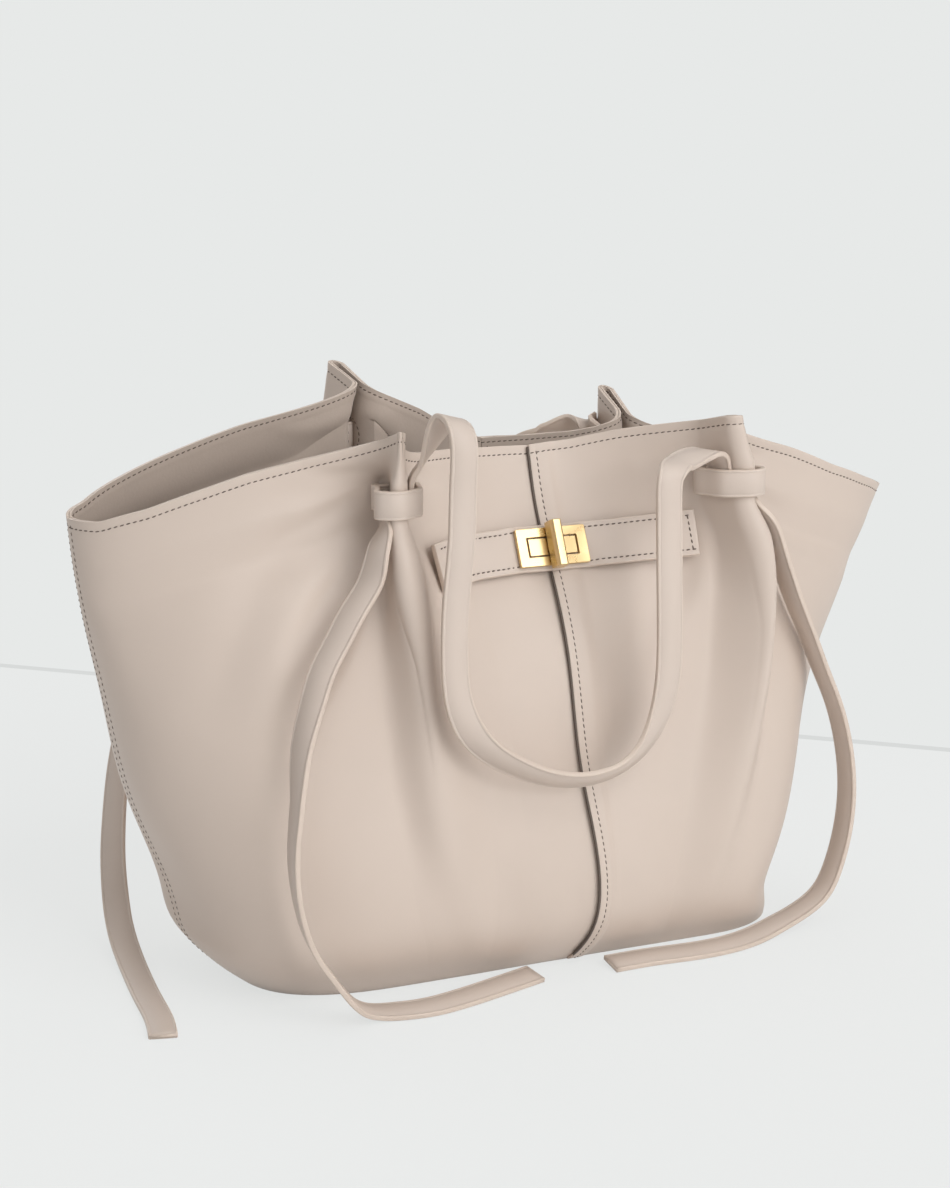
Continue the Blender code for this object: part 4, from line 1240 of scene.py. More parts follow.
@dataclass(frozen=True)
class StrapProfile:
    """Cross-section of a two-layer strap with painted edges and pressed edge lines."""

    width: float = SIZES.strap_width
    thickness: float = SIZES.strap_thickness
    corner: float = 0.0007
    bulge_share: float = 0.3
    line_inset: float = 0.0016
    line_width: float = 0.0005
    line_depth: float = 0.00022
    seam_depth: float = 0.00018

    def outline(self) -> tuple[Array, list[int]]:
        """Draw the cross-section.

        Returns:
            Points round it and the material number of each side.
        """
        w, t, c = self.width / 2, self.thickness / 2, self.corner
        line, half, dip = self.line_inset, self.line_width / 2, self.line_depth
        top = [(-w + c, t), (-w + line - half, t), (-w + line, t - dip), (-w + line + half, t)]
        top += [(0.0, t)] + [(-x, y) for x, y in top[::-1]]
        side, level = w - c * self.bulge_share, t - c * self.bulge_share
        edge = [(side, level), (w, t - c), (w - self.seam_depth, 0.0), (w, -t + c), (side, -level)]
        points = top + edge + [(-x, -y) for x, y in top] + [(-x, -y) for x, y in edge]
        picks = [0] * (len(top) - 1) + [1] * (len(edge) + 1)
        return np.array(points), picks + picks

    def sweep(
        self, maker: MeshMaker, name: str, path: Array, widths: Array, closed: bool = False
    ) -> bpy.types.Object:
        """Run the cross-section along a path.

        Args:
            maker: Mesh maker.
            name: Piece name.
            path: Points along the strap's middle.
            widths: Direction across the strap at each point.
            closed: Whether the strap is a loop.

        Returns:
            The strap.
        """
        count = len(path)
        if closed:
            tangent = unit(np.roll(path, -1, axis=0) - np.roll(path, 1, axis=0))
        else:
            tangent = unit(np.gradient(path, axis=0))
        across = unit(widths - tangent * np.sum(widths * tangent, axis=1, keepdims=True))
        out = np.cross(tangent, across)
        outline, side_picks = self.outline()
        corners = len(outline)
        rings = path[:, None] + across[:, None] * outline[None, :, :1] + out[:, None] * outline[None, :, 1:]
        faces = ring_faces(count, corners, closed)
        picks = side_picks * (len(faces) // corners)
        if not closed:
            faces += [list(range(corners)), list(range((count - 1) * corners, count * corners))[::-1]]
            picks += [1, 1]
        materials = [maker.finishes.strap, maker.finishes.edge]
        return maker.mesh(name, rings.reshape(-1, 3), faces, materials, picks, closed=True)


STRAP = StrapProfile()


# Leather body


class Rounding(NamedTuple):
    """Run of places across a quarter's top that is smoothed."""

    low: float
    high: float
    edge: float
    rounds: int


ROUNDINGS = {
    Side.FRONT_LEFT: (Rounding(1.49, 2.28, 0.08, 180), Rounding(0.85, 1.18, 0.08, 20)),
    Side.FRONT_RIGHT: (Rounding(1.84, 2.20, 0.08, 20), Rounding(0.84, 1.18, 0.08, 20)),
    Side.BACK_LEFT: (Rounding(1.84, 2.22, 0.08, 30), Rounding(0.82, 1.18, 0.08, 20)),
    Side.BACK_RIGHT: (Rounding(1.84, 2.20, 0.08, 24), Rounding(0.80, 1.20, 0.08, 30)),
}
SHARED_CREASES = (
    Crease((1.93, 2.10, 2.24), (0.84, 0.76, 0.64), 0.0060, 0.0026),
    Crease((1.95, 2.12, 2.27), (0.90, 0.885, 0.86), 0.0050, 0.0016),
    Crease((1.96, 2.08, 2.17), (0.945, 0.955, 0.985), 0.0040, 0.0010),
    Crease((1.03, 0.90, 0.76), (0.84, 0.75, 0.62), 0.0070, 0.0018),
    Crease((1.02, 0.88, 0.74), (0.93, 0.925, 0.93), 0.0060, 0.0010),
)
SPECIAL_CREASES = {
    Side.FRONT_LEFT: (
        Crease(
            (2.010, 2.027, 2.068, 2.129, 2.203, 2.272),
            (0.790, 0.714, 0.644, 0.589, 0.519, 0.455),
            0.0026,
            0.0034,
        ),
        Crease((2.03, 2.06, 2.12, 2.20, 2.30, 2.40), (0.80, 0.71, 0.63, 0.56, 0.48, 0.38), 0.0110, 0.0040),
        Crease((2.16, 2.26, 2.38, 2.50), (0.88, 0.80, 0.68, 0.55), 0.0140, 0.0026),
    ),
    Side.FRONT_RIGHT: (
        Crease((0.95, 0.74, 0.52, 0.36), (0.82, 0.72, 0.62, 0.52), 0.0110, 0.0030),
        Crease((1.02, 0.90, 0.80, 0.74), (0.66, 0.54, 0.42, 0.30), 0.0120, 0.0026),
    ),
}
# Start, end and number of samples of each run
CENTRE_RUNS = ((0, 0.06, 7), (0.08, 0.22, 8), (0.25, 0.985, 30))
TURN_RUNS = ((1.0, 0.8, 6), (0.76, 0.60, 7), (0.56, 0.16, 9), (0.12, 0.0, 7))
WING_RUN = (0.011, 1.0, 90)
LEVEL_RUNS = (
    (0.0, 0.09, 9),
    (0.105, 0.80, 64),
    (0.812, SLIT_LEVELS[0], 5),
    (0.855, SLIT_LEVELS[1], 7),
    (0.909, 1.0, 24),
)
# Share of each wave, then two ripples by place, level and start
WAVES = ((1.0, (5.1, 4.3, 1), (-2.9, 7.7, 2)), (0.6, (9.7, -5.9, 3), (0.0, 11.3, 1)))
WAVE_START = 1.7
STITCH_TRIM, INNER_STITCH_TRIM = slice(None, -3), slice(2, -4)
# Rows that carry the dark strip of edge paint and painted shadow beside the centre seam.
SEAM_SHADOW_ROWS = slice(2, -1)
UNDERLAP_PLACES = (0.10, 0.07, 0.04, 0.02)
# Corners of the dark strip of edge paint and painted shadow beside the seam, as shares of its width and
# depth.
SEAM_SHADOW_CORNERS = ((0.0, -0.1), (1.0, -0.35), (1.0, 1.0), (0.0, 1.0))


def joined(runs: Sequence[tuple[float, float, int]]) -> Array:
    """Samples of several runs, end to end."""
    return np.concatenate([np.linspace(*run) for run in runs])


def lap_rise(places: Array) -> Array:
    """Rise of the right-hand leather over its neighbour, full beside the centre seam."""
    share = (places - SIZES.lap_flat) / (SIZES.lap_end - SIZES.lap_flat)
    return SIZES.lap_rise * (1 - smooth_step(share))


@dataclass
class Panels:
    """Outer leather, inner leather and their seams."""

    maker: MeshMaker
    rim_stitch_drop: float = 0.0048
    seam_stitch_inset: float = 0.0042
    side_stitch_inset: float = 0.0036
    channel_depth: float = 0.00028
    channel_width: float = 0.0012
    edge_round: float = 0.00045
    inner_edge_round: float = 0.00036
    lining_foot: float = 0.02
    wave_height: float = 0.00075
    wave_level_fade: float = 0.15
    wave_side_fade: float = 0.3
    inner_stitch_drop: float = 0.0026
    # Size of the dark strip beside the seam, which is edge paint and painted shadow.
    seam_shadow_strip_width: float = 0.0013
    seam_shadow_strip_height: float = 0.0012
    seam_shadow_strip_round: float = 0.0003
    ring_height: float = 0.0105
    ring_width: float = 0.0050
    ring_points: int = 33

    def __post_init__(self) -> None:
        """Work out the grid, close together at the seam, the slits, the band and the rim."""
        folding = places_at(joined(TURN_RUNS))
        opening = SIDE_SEAM - folding[::-1][1:]
        wing = FOLD_END + np.linspace(*WING_RUN)
        self.places = np.concatenate([joined(CENTRE_RUNS), folding, opening, wing])
        self.levels = joined(LEVEL_RUNS)

    def waves(self, side: Side) -> Array:
        """Broad, shallow unevenness of soft leather.

        Args:
            side: Which quarter.

        Returns:
            How far each point of the grid is pressed in.
        """
        start = list(Side).index(side) * WAVE_START
        p, v = self.places[None, :], self.levels[:, None]
        wave = 0.0
        for share, *ripples in WAVES:
            first, second = (np.sin(p * along + v * up + start * turn) for along, up, turn in ripples)
            wave = wave + share * first * second
        fade = np.clip(v / self.wave_level_fade, 0, 1) * np.clip((1 - v) / self.wave_level_fade, 0, 1)
        return wave * self.wave_height * (fade * np.clip((SIDE_SEAM - p) / self.wave_side_fade, 0, 1))

    def channel(self, distance: Array, inset: float) -> Array:
        """Depth of the channel that a row of stitches pulls into the leather."""
        return np.exp(-(((distance - inset) / self.channel_width) ** 2)) * self.channel_depth

    def grid(self, side: Side) -> LeatherGrid:
        """Outer face of a quarter with its creases and the channel under its rim.

        Args:
            side: Which quarter.

        Returns:
            The grid.
        """
        quarter = QUARTERS[side]
        points = self.rounded(SHAPE.surface(quarter, self.places, self.levels), side)
        grid = LeatherGrid(points, -quarter.side * quarter.face)
        grid = grid.creased(quarter, SHARED_CREASES + SPECIAL_CREASES.get(side, ()))
        grid = grid.pressed(self.waves(side))
        return grid.pressed(self.channel(grid.below_rim(), self.rim_stitch_drop))

    def rounded(self, points: Array, side: Side) -> Array:
        """Points with the fold's corners opened into easy curves above the band.

        Args:
            points: Grid, levels by places by 3.
            side: Which quarter.

        Returns:
            The rounded grid.
        """
        points = points.copy()
        rise = smooth_step((self.levels - SLIT_LEVELS[1]) / (1 - SLIT_LEVELS[1]))[:, None]
        for low, high, edge, rounds in ROUNDINGS[side]:
            window = smooth_step((self.places - low) / edge) * smooth_step((high - self.places) / edge)
            weight = (rise * window[None, :])[:, 1:-1, None]
            for _ in range(rounds):
                mean = (points[:, :-2] + points[:, 2:]) / 2
                points[:, 1:-1] += (mean - points[:, 1:-1]) * weight
        return points

    def seam_shadow_strip(self, grid: LeatherGrid, name: str) -> None:
        """Build the dark strip beside the centre seam: partly the lap's dark edge paint, partly painted
        shadow in the gap under the lap's edge.

        Args:
            grid: Outer face of the right-hand quarter.
            name: Piece name.
        """
        edge, inner = grid.points[SEAM_SHADOW_ROWS, 0], grid.points[SEAM_SHADOW_ROWS, 1]
        away = unit(edge - inner) * self.seam_shadow_strip_width
        down = grid.normals[SEAM_SHADOW_ROWS, 0] * -self.seam_shadow_strip_height
        rings = np.stack([edge + away * x + down * y for x, y in SEAM_SHADOW_CORNERS], axis=1)
        count, corners = rings.shape[:2]
        ends = [[first + n for n in range(corners)] for first in (0, (count - 1) * corners)]
        faces = ring_faces(count, corners) + ends
        item = self.maker.mesh(name, rings.reshape(-1, 3), faces, [self.maker.finishes.seam], closed=True)
        soften_edges(item, self.seam_shadow_strip_round)
        self.maker.hand_over(item, Hold.BAG, Slot.OUTER)

    def lap(self, grid: LeatherGrid) -> LeatherGrid:
        """Raise a right-hand grid over its neighbour.

        Args:
            grid: Outer face.

        Returns:
            The grid, raised beside the centre seam.
        """
        channel = self.channel(grid.from_column(0), self.seam_stitch_inset)
        raised = grid.pressed(channel - lap_rise(self.places)[None, :]).points
        raised[..., 2] = np.maximum(raised[..., 2], 0.0)
        return LeatherGrid(raised, grid.sign)

    def slit_holes(self, row_shift: int = 0, column_shift: int = 0) -> set[tuple[int, int]]:
        """Find the cells left open for the band's two slits.

        Args:
            row_shift: Rows added at the grid's foot.
            column_shift: Columns added at the centre seam.

        Returns:
            Row and column of each cell.
        """
        levels = (self.levels[:-1] + self.levels[1:]) / 2
        turns = np.abs(turns_at((self.places[:-1] + self.places[1:]) / 2))
        rows = np.flatnonzero((levels >= SLIT_LEVELS[0]) & (levels <= SLIT_LEVELS[1]))
        columns = np.flatnonzero((turns > SLIT_TURNS[0]) & (turns < SLIT_TURNS[1]))
        return {(int(row) + row_shift, int(column) + column_shift) for row in rows for column in columns}

    def sheet(self, name: str, grid: LeatherGrid, holes: set, face: bpy.types.Material) -> bpy.types.Object:
        """Make a sheet of leather with painted edges from a grid with holes."""
        materials = [face, self.maker.finishes.edge]
        return self.maker.mesh(name, grid.points.reshape(-1, 3), grid.faces(holes), materials)

    def build_quarter(self, side: Side) -> None:
        """Build one quarter's outer and inner leather with its stitches.

        Args:
            side: Which quarter.
        """
        quarter = QUARTERS[side]
        right = quarter.side > 0
        plain = self.grid(side)
        outer = self.lap(plain) if right else self.with_strip(plain, side)
        shift = outer.points.shape[1] - plain.points.shape[1]
        points = outer.points.copy()
        points[:, -1, 1] += quarter.face * SIZES.seam_gap
        outer = LeatherGrid(points, outer.sign)
        holes = self.slit_holes(column_shift=shift)
        item = self.sheet(f"outer_{side.value}", outer, holes, self.maker.finishes.outer)
        thicken(item, SIZES.leather)
        soften_edges(item, self.edge_round)
        self.maker.hand_over(item, Hold.BAG, Slot.OUTER, f"{side.value}_panel")
        self.build_lining(side, plain)
        if right:
            # Dark strip beside the lap: edge paint and painted shadow.
            self.seam_shadow_strip(outer, f"seam_shadow_strip_{side.value}")
        lines = [tuple(rows[shift:] for rows in outer.row_at(self.rim_stitch_drop))]
        columns = [(points.shape[1] - 1, self.side_stitch_inset)]
        columns += [(0, self.seam_stitch_inset)] if right else []
        lines += [tuple(rows[STITCH_TRIM] for rows in outer.column_at(*column)) for column in columns]
        STITCHES.make(self.maker, f"stitches_{side.value}", lines, Slot.OUTER)

    def with_strip(self, plain: LeatherGrid, side: Side) -> LeatherGrid:
        """Add the strip that runs under the neighbour at the centre seam.

        Args:
            plain: Outer face of the left-hand quarter.
            side: Which quarter.

        Returns:
            The wider grid.
        """
        other = Side.FRONT_RIGHT if QUARTERS[side].face < 0 else Side.BACK_RIGHT
        strip = SHAPE.surface(QUARTERS[other], np.array(UNDERLAP_PLACES), self.levels)
        return LeatherGrid(np.concatenate([strip, plain.points], axis=1), plain.sign)

    def build_lining(self, side: Side, plain: LeatherGrid) -> None:
        """Build one quarter's inner leather just inside the outer leather.

        Args:
            side: Which quarter.
            plain: Outer face without the lap.
        """
        quarter = QUARTERS[side]
        first = int(np.argmax(self.levels >= self.lining_foot))
        inside = plain.inside(SIZES.leather + SIZES.air_gap)[first:]
        inside[:, 0, 0] += quarter.side * SIZES.seam_gap
        inside[:, -1, 1] += quarter.face * SIZES.seam_gap * 2
        skin = LeatherGrid(inside, plain.sign)
        item = self.sheet(f"inner_{side.value}", skin, self.slit_holes(-first), self.maker.finishes.lining)
        thicken(item, SIZES.lining)
        soften_edges(item, self.inner_edge_round)
        self.maker.hand_over(item, Hold.BAG, Slot.LINING, f"lining_{side.value}")
        back = LeatherGrid(skin.inside(SIZES.lining), -plain.sign)
        seam = back.column_at(0, self.side_stitch_inset)
        lines = [back.row_at(self.inner_stitch_drop), tuple(rows[INNER_STITCH_TRIM] for rows in seam)]
        row = float(np.interp(BAND_LEVEL, self.levels[first:], np.arange(len(inside))))
        for turn in SLIT_TURN, -SLIT_TURN:
            column = float(np.interp(places_at(turn), self.places, np.arange(len(self.places))))
            lines.append(self.slit_ring(back, row, column))
        STITCHES.make(self.maker, f"inner_stitches_{side.value}", lines, Slot.LINING)

    def slit_ring(self, back: LeatherGrid, row: float, column: float) -> tuple[Array, Array]:
        """Oval stitch line round a slit on the inner leather.

        Args:
            back: Inner face.
            row: Row of the slit's middle.
            column: Column of the slit's middle.

        Returns:
            Points and directions of the line.
        """
        spot = back.points[int(row), int(column)]
        tall = self.ring_height / np.linalg.norm(back.points[int(row) + 1, int(column)] - spot)
        wide = self.ring_width / np.linalg.norm(back.points[int(row), int(column) + 1] - spot)
        line = []
        for angle in np.linspace(0, 2 * math.pi, self.ring_points):
            up, over = row + math.sin(angle) * tall, column + math.cos(angle) * wide
            low, left = int(up), int(over)
            up, over = up - low, over - left
            for grid in (back.points, back.normals):
                near, far = grid[low : low + 2, left], grid[low : low + 2, left + 1]
                first, second = near * (1 - over) + far * over
                line.append(first * (1 - up) + second * up)
        return np.array(line[::2]), unit(np.array(line[1::2]))

    def build(self) -> None:
        """Build all four quarters."""
        for side in Side:
            self.build_quarter(side)


@dataclass
class Base:
    """Base leather, stiffening board and lining floor."""

    maker: MeshMaker
    base_thickness: float = 0.0018
    board_thickness: float = 0.0022
    base_inset: float = 0.0006
    board_inset: float = 0.010
    floor_inset: float = 0.0020
    floor_level: float = 0.0165
    stitch_inset: float = 0.0076
    edge_round: float = 0.0004
    inner_run: tuple = (0.0, FOLD_END, 30)
    wing_run: tuple = (0.03, 1.0, 26)

    def outline(self, inset: float, level: float = 0.0) -> Array:
        """Closed outline of the walls at a level, moved inwards.

        Args:
            inset: Distance inwards.
            level: Level of the walls.

        Returns:
            Points of the outline.
        """
        places = np.concatenate([np.linspace(*self.inner_run), FOLD_END + np.linspace(*self.wing_run)])
        parts = []
        for side in (Side.FRONT_LEFT, Side.FRONT_RIGHT, Side.BACK_RIGHT, Side.BACK_LEFT):
            edge = SHAPE.surface(QUARTERS[side], places, np.array([level]))[0, :, :2]
            forward = side in (Side.FRONT_RIGHT, Side.BACK_LEFT)
            parts.append(edge[:-1] if forward else edge[::-1][:-1])
        line = np.concatenate(parts)
        run = np.roll(line, -1, axis=0) - np.roll(line, 1, axis=0)
        inward = unit(np.stack([-run[:, 1], run[:, 0]], -1))
        return line + inward * inset

    def plate(
        self, name: str, outline: Array, low: float, high: float, face: bpy.types.Material
    ) -> bpy.types.Object:
        """Raise an outline into a plate with rounded edges.

        Args:
            name: Piece name.
            outline: Points round the plate.
            low: Height of its underside.
            high: Height of its top.
            face: Material of its faces.

        Returns:
            The plate.
        """
        count = len(outline)
        vertices = np.array([(x, y, z) for z in (low, high) for x, y in outline])
        faces = [list(range(count))[::-1], list(range(count, 2 * count))] + ring_faces(2, count)
        picks = [0, 0] + [1] * count
        item = self.maker.mesh(name, vertices, faces, [face, self.maker.finishes.edge], picks, closed=True)
        for polygon in item.data.polygons:
            polygon.use_smooth = len(polygon.vertices) == 4
        soften_edges(item, self.edge_round)
        return item

    def build(self) -> None:
        """Build the three layers and the sewn line round the base."""
        finishes, low = self.maker.finishes, 0.0
        base, board = self.outline(self.base_inset), self.outline(self.board_inset)
        floor = self.outline(self.floor_inset, self.floor_level)
        for name, outline, thickness, face, slot, node in (
            ("base_leather", base, self.base_thickness, finishes.outer, Slot.OUTER, "base_panel"),
            ("base_stiffener", board, self.board_thickness, finishes.card, Slot.CARD, "base_board"),
            ("inner_floor", floor, SIZES.lining, finishes.lining, Slot.LINING, "lining_base"),
        ):
            top = low + thickness
            self.maker.hand_over(self.plate(name, outline, low, top, face), Hold.BAG, slot, node)
            low += thickness + SIZES.air_gap
        line = self.outline(self.stitch_inset)
        line = np.concatenate([line, line[:1]])
        lines = [(np.column_stack([line, np.full(len(line), top)]), np.tile(UP, (len(line), 1)))]
        STITCHES.make(self.maker, "inner_floor_stitches", lines, Slot.LINING)


# Belt and turn-lock


class BeltStation(NamedTuple):
    """Point on the belt's back with its outward and upward directions."""

    point: Array
    outward: Array
    upward: Array


@dataclass
class Belt:
    """Sewn belt across the front."""

    maker: MeshMaker
    level: float = 0.805
    profile: StrapProfile = StrapProfile(width=0.0255, thickness=0.0028, corner=0.0006, line_depth=0.0001)
    edge_round: float = 0.0003
    edge_angle: float = 60.0
    left_end: float = 0.995
    right_end: float = 0.99
    inner_place: float = 0.36
    side_stations: int = 8
    flat_stations: int = 5
    steps: int = 5
    stand_off: float = SIZES.lap_rise + 7 * SIZES.air_gap
    side_stand_off: float = 0.0022
    end_rise: float = 0.006
    tilt: float = math.radians(24.0)
    flat_half: float = 0.0216
    stitch_inset: float = 0.0032
    end_stitch_inset: float = 0.0036
    end_stitch_points: int = 9
    stitch_stand_off: float = 0.00012

    def middle(self) -> BeltStation:
        """Station on the leather at the centre seam.

        Returns:
            The station.
        """
        point = SHAPE.spot(QUARTERS[Side.FRONT_RIGHT], 0.0, self.level)
        outward = np.array([0.0, -math.cos(self.tilt), math.sin(self.tilt)])
        upward = np.array([0.0, math.sin(self.tilt), math.cos(self.tilt)])
        return BeltStation(point, outward, upward)

    def side_station(self, quarter: Quarter, place: float) -> BeltStation:
        """Station on the leather beside the lock.

        Args:
            quarter: Quarter that the belt crosses.
            place: Place across the quarter.

        Returns:
            The station.
        """
        full = SHAPE.sizes.rim_height
        shares = list(quarter.rim)
        shares[RIM_PLACES.index(FOLD_START)] = shares[RIM_PLACES.index(FOLD_TIP)]
        even = full * float(np.interp(place, RIM_PLACES, shares))
        height = self.level * full * quarter.rim[0]
        if quarter.side > 0:
            height += self.end_rise * place**2
        level, half = height / even, self.profile.width / 2 / even
        upper, lower = SHAPE.spot(quarter, place, level + half), SHAPE.spot(quarter, place, level - half)
        upward = unit((upper - lower) * np.array([0.0, 1.0, 1.0]))
        normal = SHAPE.outward(quarter, place, level)
        outward = unit(normal - upward * float(normal @ upward))
        stand_off = SIZES.air_gap + self.side_stand_off
        if quarter.side > 0:
            stand_off += float(lap_rise(place))
        return BeltStation((upper + lower) / 2 + outward * stand_off, outward, upward)

    def stations(self) -> tuple[Array, Array, Array]:
        """Run smoothly through the stations along the belt.

        Returns:
            Points, outward directions and upward directions.
        """
        middle = self.middle()
        start = middle.point + middle.outward * self.stand_off
        left, right = QUARTERS[Side.FRONT_LEFT], QUARTERS[Side.FRONT_RIGHT]
        left_places = np.linspace(self.left_end, self.inner_place, self.side_stations)
        right_places = np.linspace(self.inner_place, self.right_end, self.side_stations)
        rows = [self.side_station(left, place) for place in left_places]
        for reach in np.linspace(-self.flat_half, self.flat_half, self.flat_stations):
            rows.append(BeltStation(start + ACROSS * reach, middle.outward, middle.upward))
        rows += [self.side_station(right, place) for place in right_places]
        points, outward, upward = (np.array(column) for column in zip(*rows))
        path = smooth_path(points, self.steps)
        at, travelled = arc_lengths(path), arc_lengths(points)
        travelled = travelled * at[-1] / travelled[-1]
        return path, unit(read_along(travelled, outward, at)), unit(read_along(travelled, upward, at))

    def build(self) -> None:
        """Build the belt and its stitches."""
        path, outward, upward = self.stations()
        thickness = self.profile.thickness
        item = self.profile.sweep(self.maker, "belt_strap", path + outward * thickness / 2, upward)
        soften_edges(item, self.edge_round, angle=self.edge_angle)
        self.maker.hand_over(item, Hold.BAG, Slot.STRAP, "belt")
        front = path + outward * (thickness + self.stitch_stand_off)
        reach = self.profile.width / 2 - self.stitch_inset
        lines = [((front + upward * reach * sign)[1:-1], outward[1:-1]) for sign in (-1, 1)]
        travelled = arc_lengths(front)
        end = np.array([travelled[-1] - self.end_stitch_inset])
        spot, up, out = (read_along(travelled, rows, end)[0] for rows in (front, upward, outward))
        heights = np.linspace(-reach, reach, self.end_stitch_points)
        lines.append((spot + up * heights[:, None], np.tile(out, (self.end_stitch_points, 1))))
        STITCHES.make(self.maker, "belt_stitches", lines, Slot.STRAP)


Outline = list[tuple[float, float]]
Ring = list[tuple[float, float, float]]


@dataclass
class TurnLock:
    """Gold turn-lock: framed plate, post and upright turning bar."""

    maker: MeshMaker
    belt: Belt
    plate_length: float = 0.042
    plate_height: float = 0.0212
    plate_thickness: float = 0.0026
    window_length: float = 0.0302
    window_height: float = 0.0108
    corner: float = 0.0009
    window_corner: float = 0.00045
    post_corner: float = 0.00036
    corner_steps: int = 5
    post_gap: float = 0.0008
    post_drop: float = 0.0002
    hole_radius: float = 0.0028
    knob_length: float = 0.0256
    knob_width: float = 0.0072
    knob_depth: float = 0.0088
    knob_front: float = 0.0045
    knob_bevel: float = 0.0024
    knob_stand_off: float = 0.0008
    knob_shares: tuple = (-1.0, -0.5, 0.0, 0.5, 1.0)
    shaft_radius: float = 0.0024
    shaft_sides: int = 24
    shaft_overlap: float = 0.0004
    plate_round: float = 0.0005
    post_round: float = 0.0003
    knob_round: float = 0.0006
    shaft_round: float = 0.0002

    def placed(self, points: Ring) -> Array:
        """Turn lengths along, up and out of the lock into positions.

        Args:
            points: Lengths along, up and out.

        Returns:
            Positions in the drawing's frame.
        """
        middle = self.belt.middle()
        rows = np.asarray(points, dtype=float)
        along, up, out = rows[:, :1], rows[:, 1:2], rows[:, 2:]
        return middle.point + along * ACROSS + up * middle.upward + out * middle.outward

    def rounded(self, length: float, height: float, corner: float) -> Outline:
        """Draw a rectangle with rounded corners.

        Args:
            length: Its length.
            height: Its height.
            corner: Radius of its corners.

        Returns:
            Points round it.
        """
        points = []
        for number, (sx, sy) in enumerate(((1, 1), (-1, 1), (-1, -1), (1, -1))):
            for step in range(self.corner_steps + 1):
                angle = (number + step / self.corner_steps) * math.pi / 2
                x = sx * (length / 2 - corner) + corner * math.cos(angle)
                y = sy * (height / 2 - corner) + corner * math.sin(angle)
                points.append((x, y))
        return points

    @staticmethod
    def circle(radius: float, count: int) -> Outline:
        """Points round a circle, in the order of a rounded rectangle's points."""
        angles = [(n + 0.5) / count * 2 * math.pi for n in range(count)]
        return [(math.cos(a) * radius, math.sin(a) * radius) for a in angles]

    @staticmethod
    def raised(outline: Outline, *depths: float) -> list[Ring]:
        """An outline repeated at several depths."""
        return [[(x, y, depth) for x, y in outline] for depth in depths]

    def ringed(self, name: str, rings: list[Ring], looped: bool) -> bpy.types.Object:
        """Join matching rings of points into a closed gold piece.

        Args:
            name: Piece name.
            rings: Rings of points.
            looped: Whether the last ring meets the first.

        Returns:
            The piece.
        """
        count = len(rings[0])
        vertices = self.placed([point for ring in rings for point in ring])
        faces = ring_faces(len(rings), count, looped)
        if not looped:
            faces += [list(range(count))[::-1], list(range(len(vertices) - count, len(vertices)))]
        return self.maker.mesh(name, vertices, faces, [self.maker.finishes.gold], closed=True)

    @staticmethod
    def flatten(item: bpy.types.Object) -> None:
        """Keep the metal's flat faces flat in the light."""
        item.modifiers.new("flat_faces", "WEIGHTED_NORMAL").keep_sharp = True

    def build(self) -> None:
        """Build the plate, post and turning bar."""
        belt_back = self.belt.stand_off
        back = belt_back + self.belt.profile.thickness + SIZES.air_gap
        front = back + self.plate_thickness
        outer = self.rounded(self.plate_length, self.plate_height, self.corner)
        window = self.rounded(self.window_length, self.window_height, self.window_corner)
        rings = self.raised(outer, back, front) + self.raised(window, front, back)
        item = self.ringed("lock_frame", rings, looped=True)
        soften_edges(item, self.plate_round, segments=3, angle=35)
        self.flatten(item)
        self.maker.hand_over(item, Hold.BAG, Slot.GOLD, "lock_plate")
        length, height = (size - 2 * self.post_gap for size in (self.window_length, self.window_height))
        block = self.rounded(length, height, self.post_corner)
        hole = self.circle(self.hole_radius, len(block))
        post_front = front - self.post_drop
        rings = self.raised(block, belt_back, post_front) + self.raised(hole, post_front, belt_back)
        item = self.ringed("lock_inner_block", rings, looped=True)
        soften_edges(item, self.post_round, angle=50)
        self.flatten(item)
        self.maker.hand_over(item, Hold.BAG, Slot.GOLD, "lock_post")
        self.build_bar(post_front)

    def build_bar(self, post_front: float) -> None:
        """Build the upright turning bar and its shaft.

        Args:
            post_front: Depth of the post's front face.
        """
        base = post_front + self.post_drop + self.knob_stand_off
        front, shoulder = base + self.knob_depth, base + self.knob_depth - self.knob_bevel
        half, nose = self.knob_width / 2, self.knob_front / 2
        profile = [(-half, base), (-half, shoulder), (-nose, front)]
        profile += [(-x, d) for x, d in profile[::-1]]
        heights = [self.knob_length / 2 * share for share in self.knob_shares]
        bar = self.ringed("turn_bar", [[(x, h, d) for x, d in profile] for h in heights], looped=False)
        soften_edges(bar, self.knob_round, segments=3, angle=25)
        self.flatten(bar)
        self.maker.hand_over(bar, Hold.KNOB, Slot.GOLD, "turn_knob")
        circle = self.circle(self.shaft_radius, self.shaft_sides)
        rings = self.raised(circle, self.belt.stand_off + SIZES.air_gap, base + self.shaft_overlap)
        shaft = self.ringed("turn_shaft", rings, looped=False)
        soften_edges(shaft, self.shaft_round)
        self.maker.hand_over(shaft, Hold.KNOB, Slot.GOLD)


# Handles, cinch bands, tails and curls

# Points of each run of strap, as shares of half the span, the belly's depth and the rim's height
ROOT_SHARES = {
    Side.FRONT_LEFT: ((-0.350, -0.760, 0.945), (-0.337, -0.870, 0.995), (-0.325, -0.955, 1.027)),
    Side.FRONT_RIGHT: ((0.336, -0.745, 0.918), (0.285, -0.840, 0.929), (0.218, -0.960, 0.924)),
    Side.BACK_LEFT: ((-0.273, 0.850, 0.984), (-0.270, 1.000, 0.994), (-0.280, 1.140, 0.976)),
    Side.BACK_RIGHT: ((0.321, 0.850, 0.915), (0.312, 0.990, 0.918), (0.258, 1.140, 0.900)),
}
SPLIT_SHARES = {
    Hold.FRONT_HANDLE: ((-0.318, -1.071, 1.020), (0.165, -1.083, 0.910)),
    Hold.BACK_HANDLE: ((-0.290, 1.295, 0.950), (0.215, 1.295, 0.874)),
}
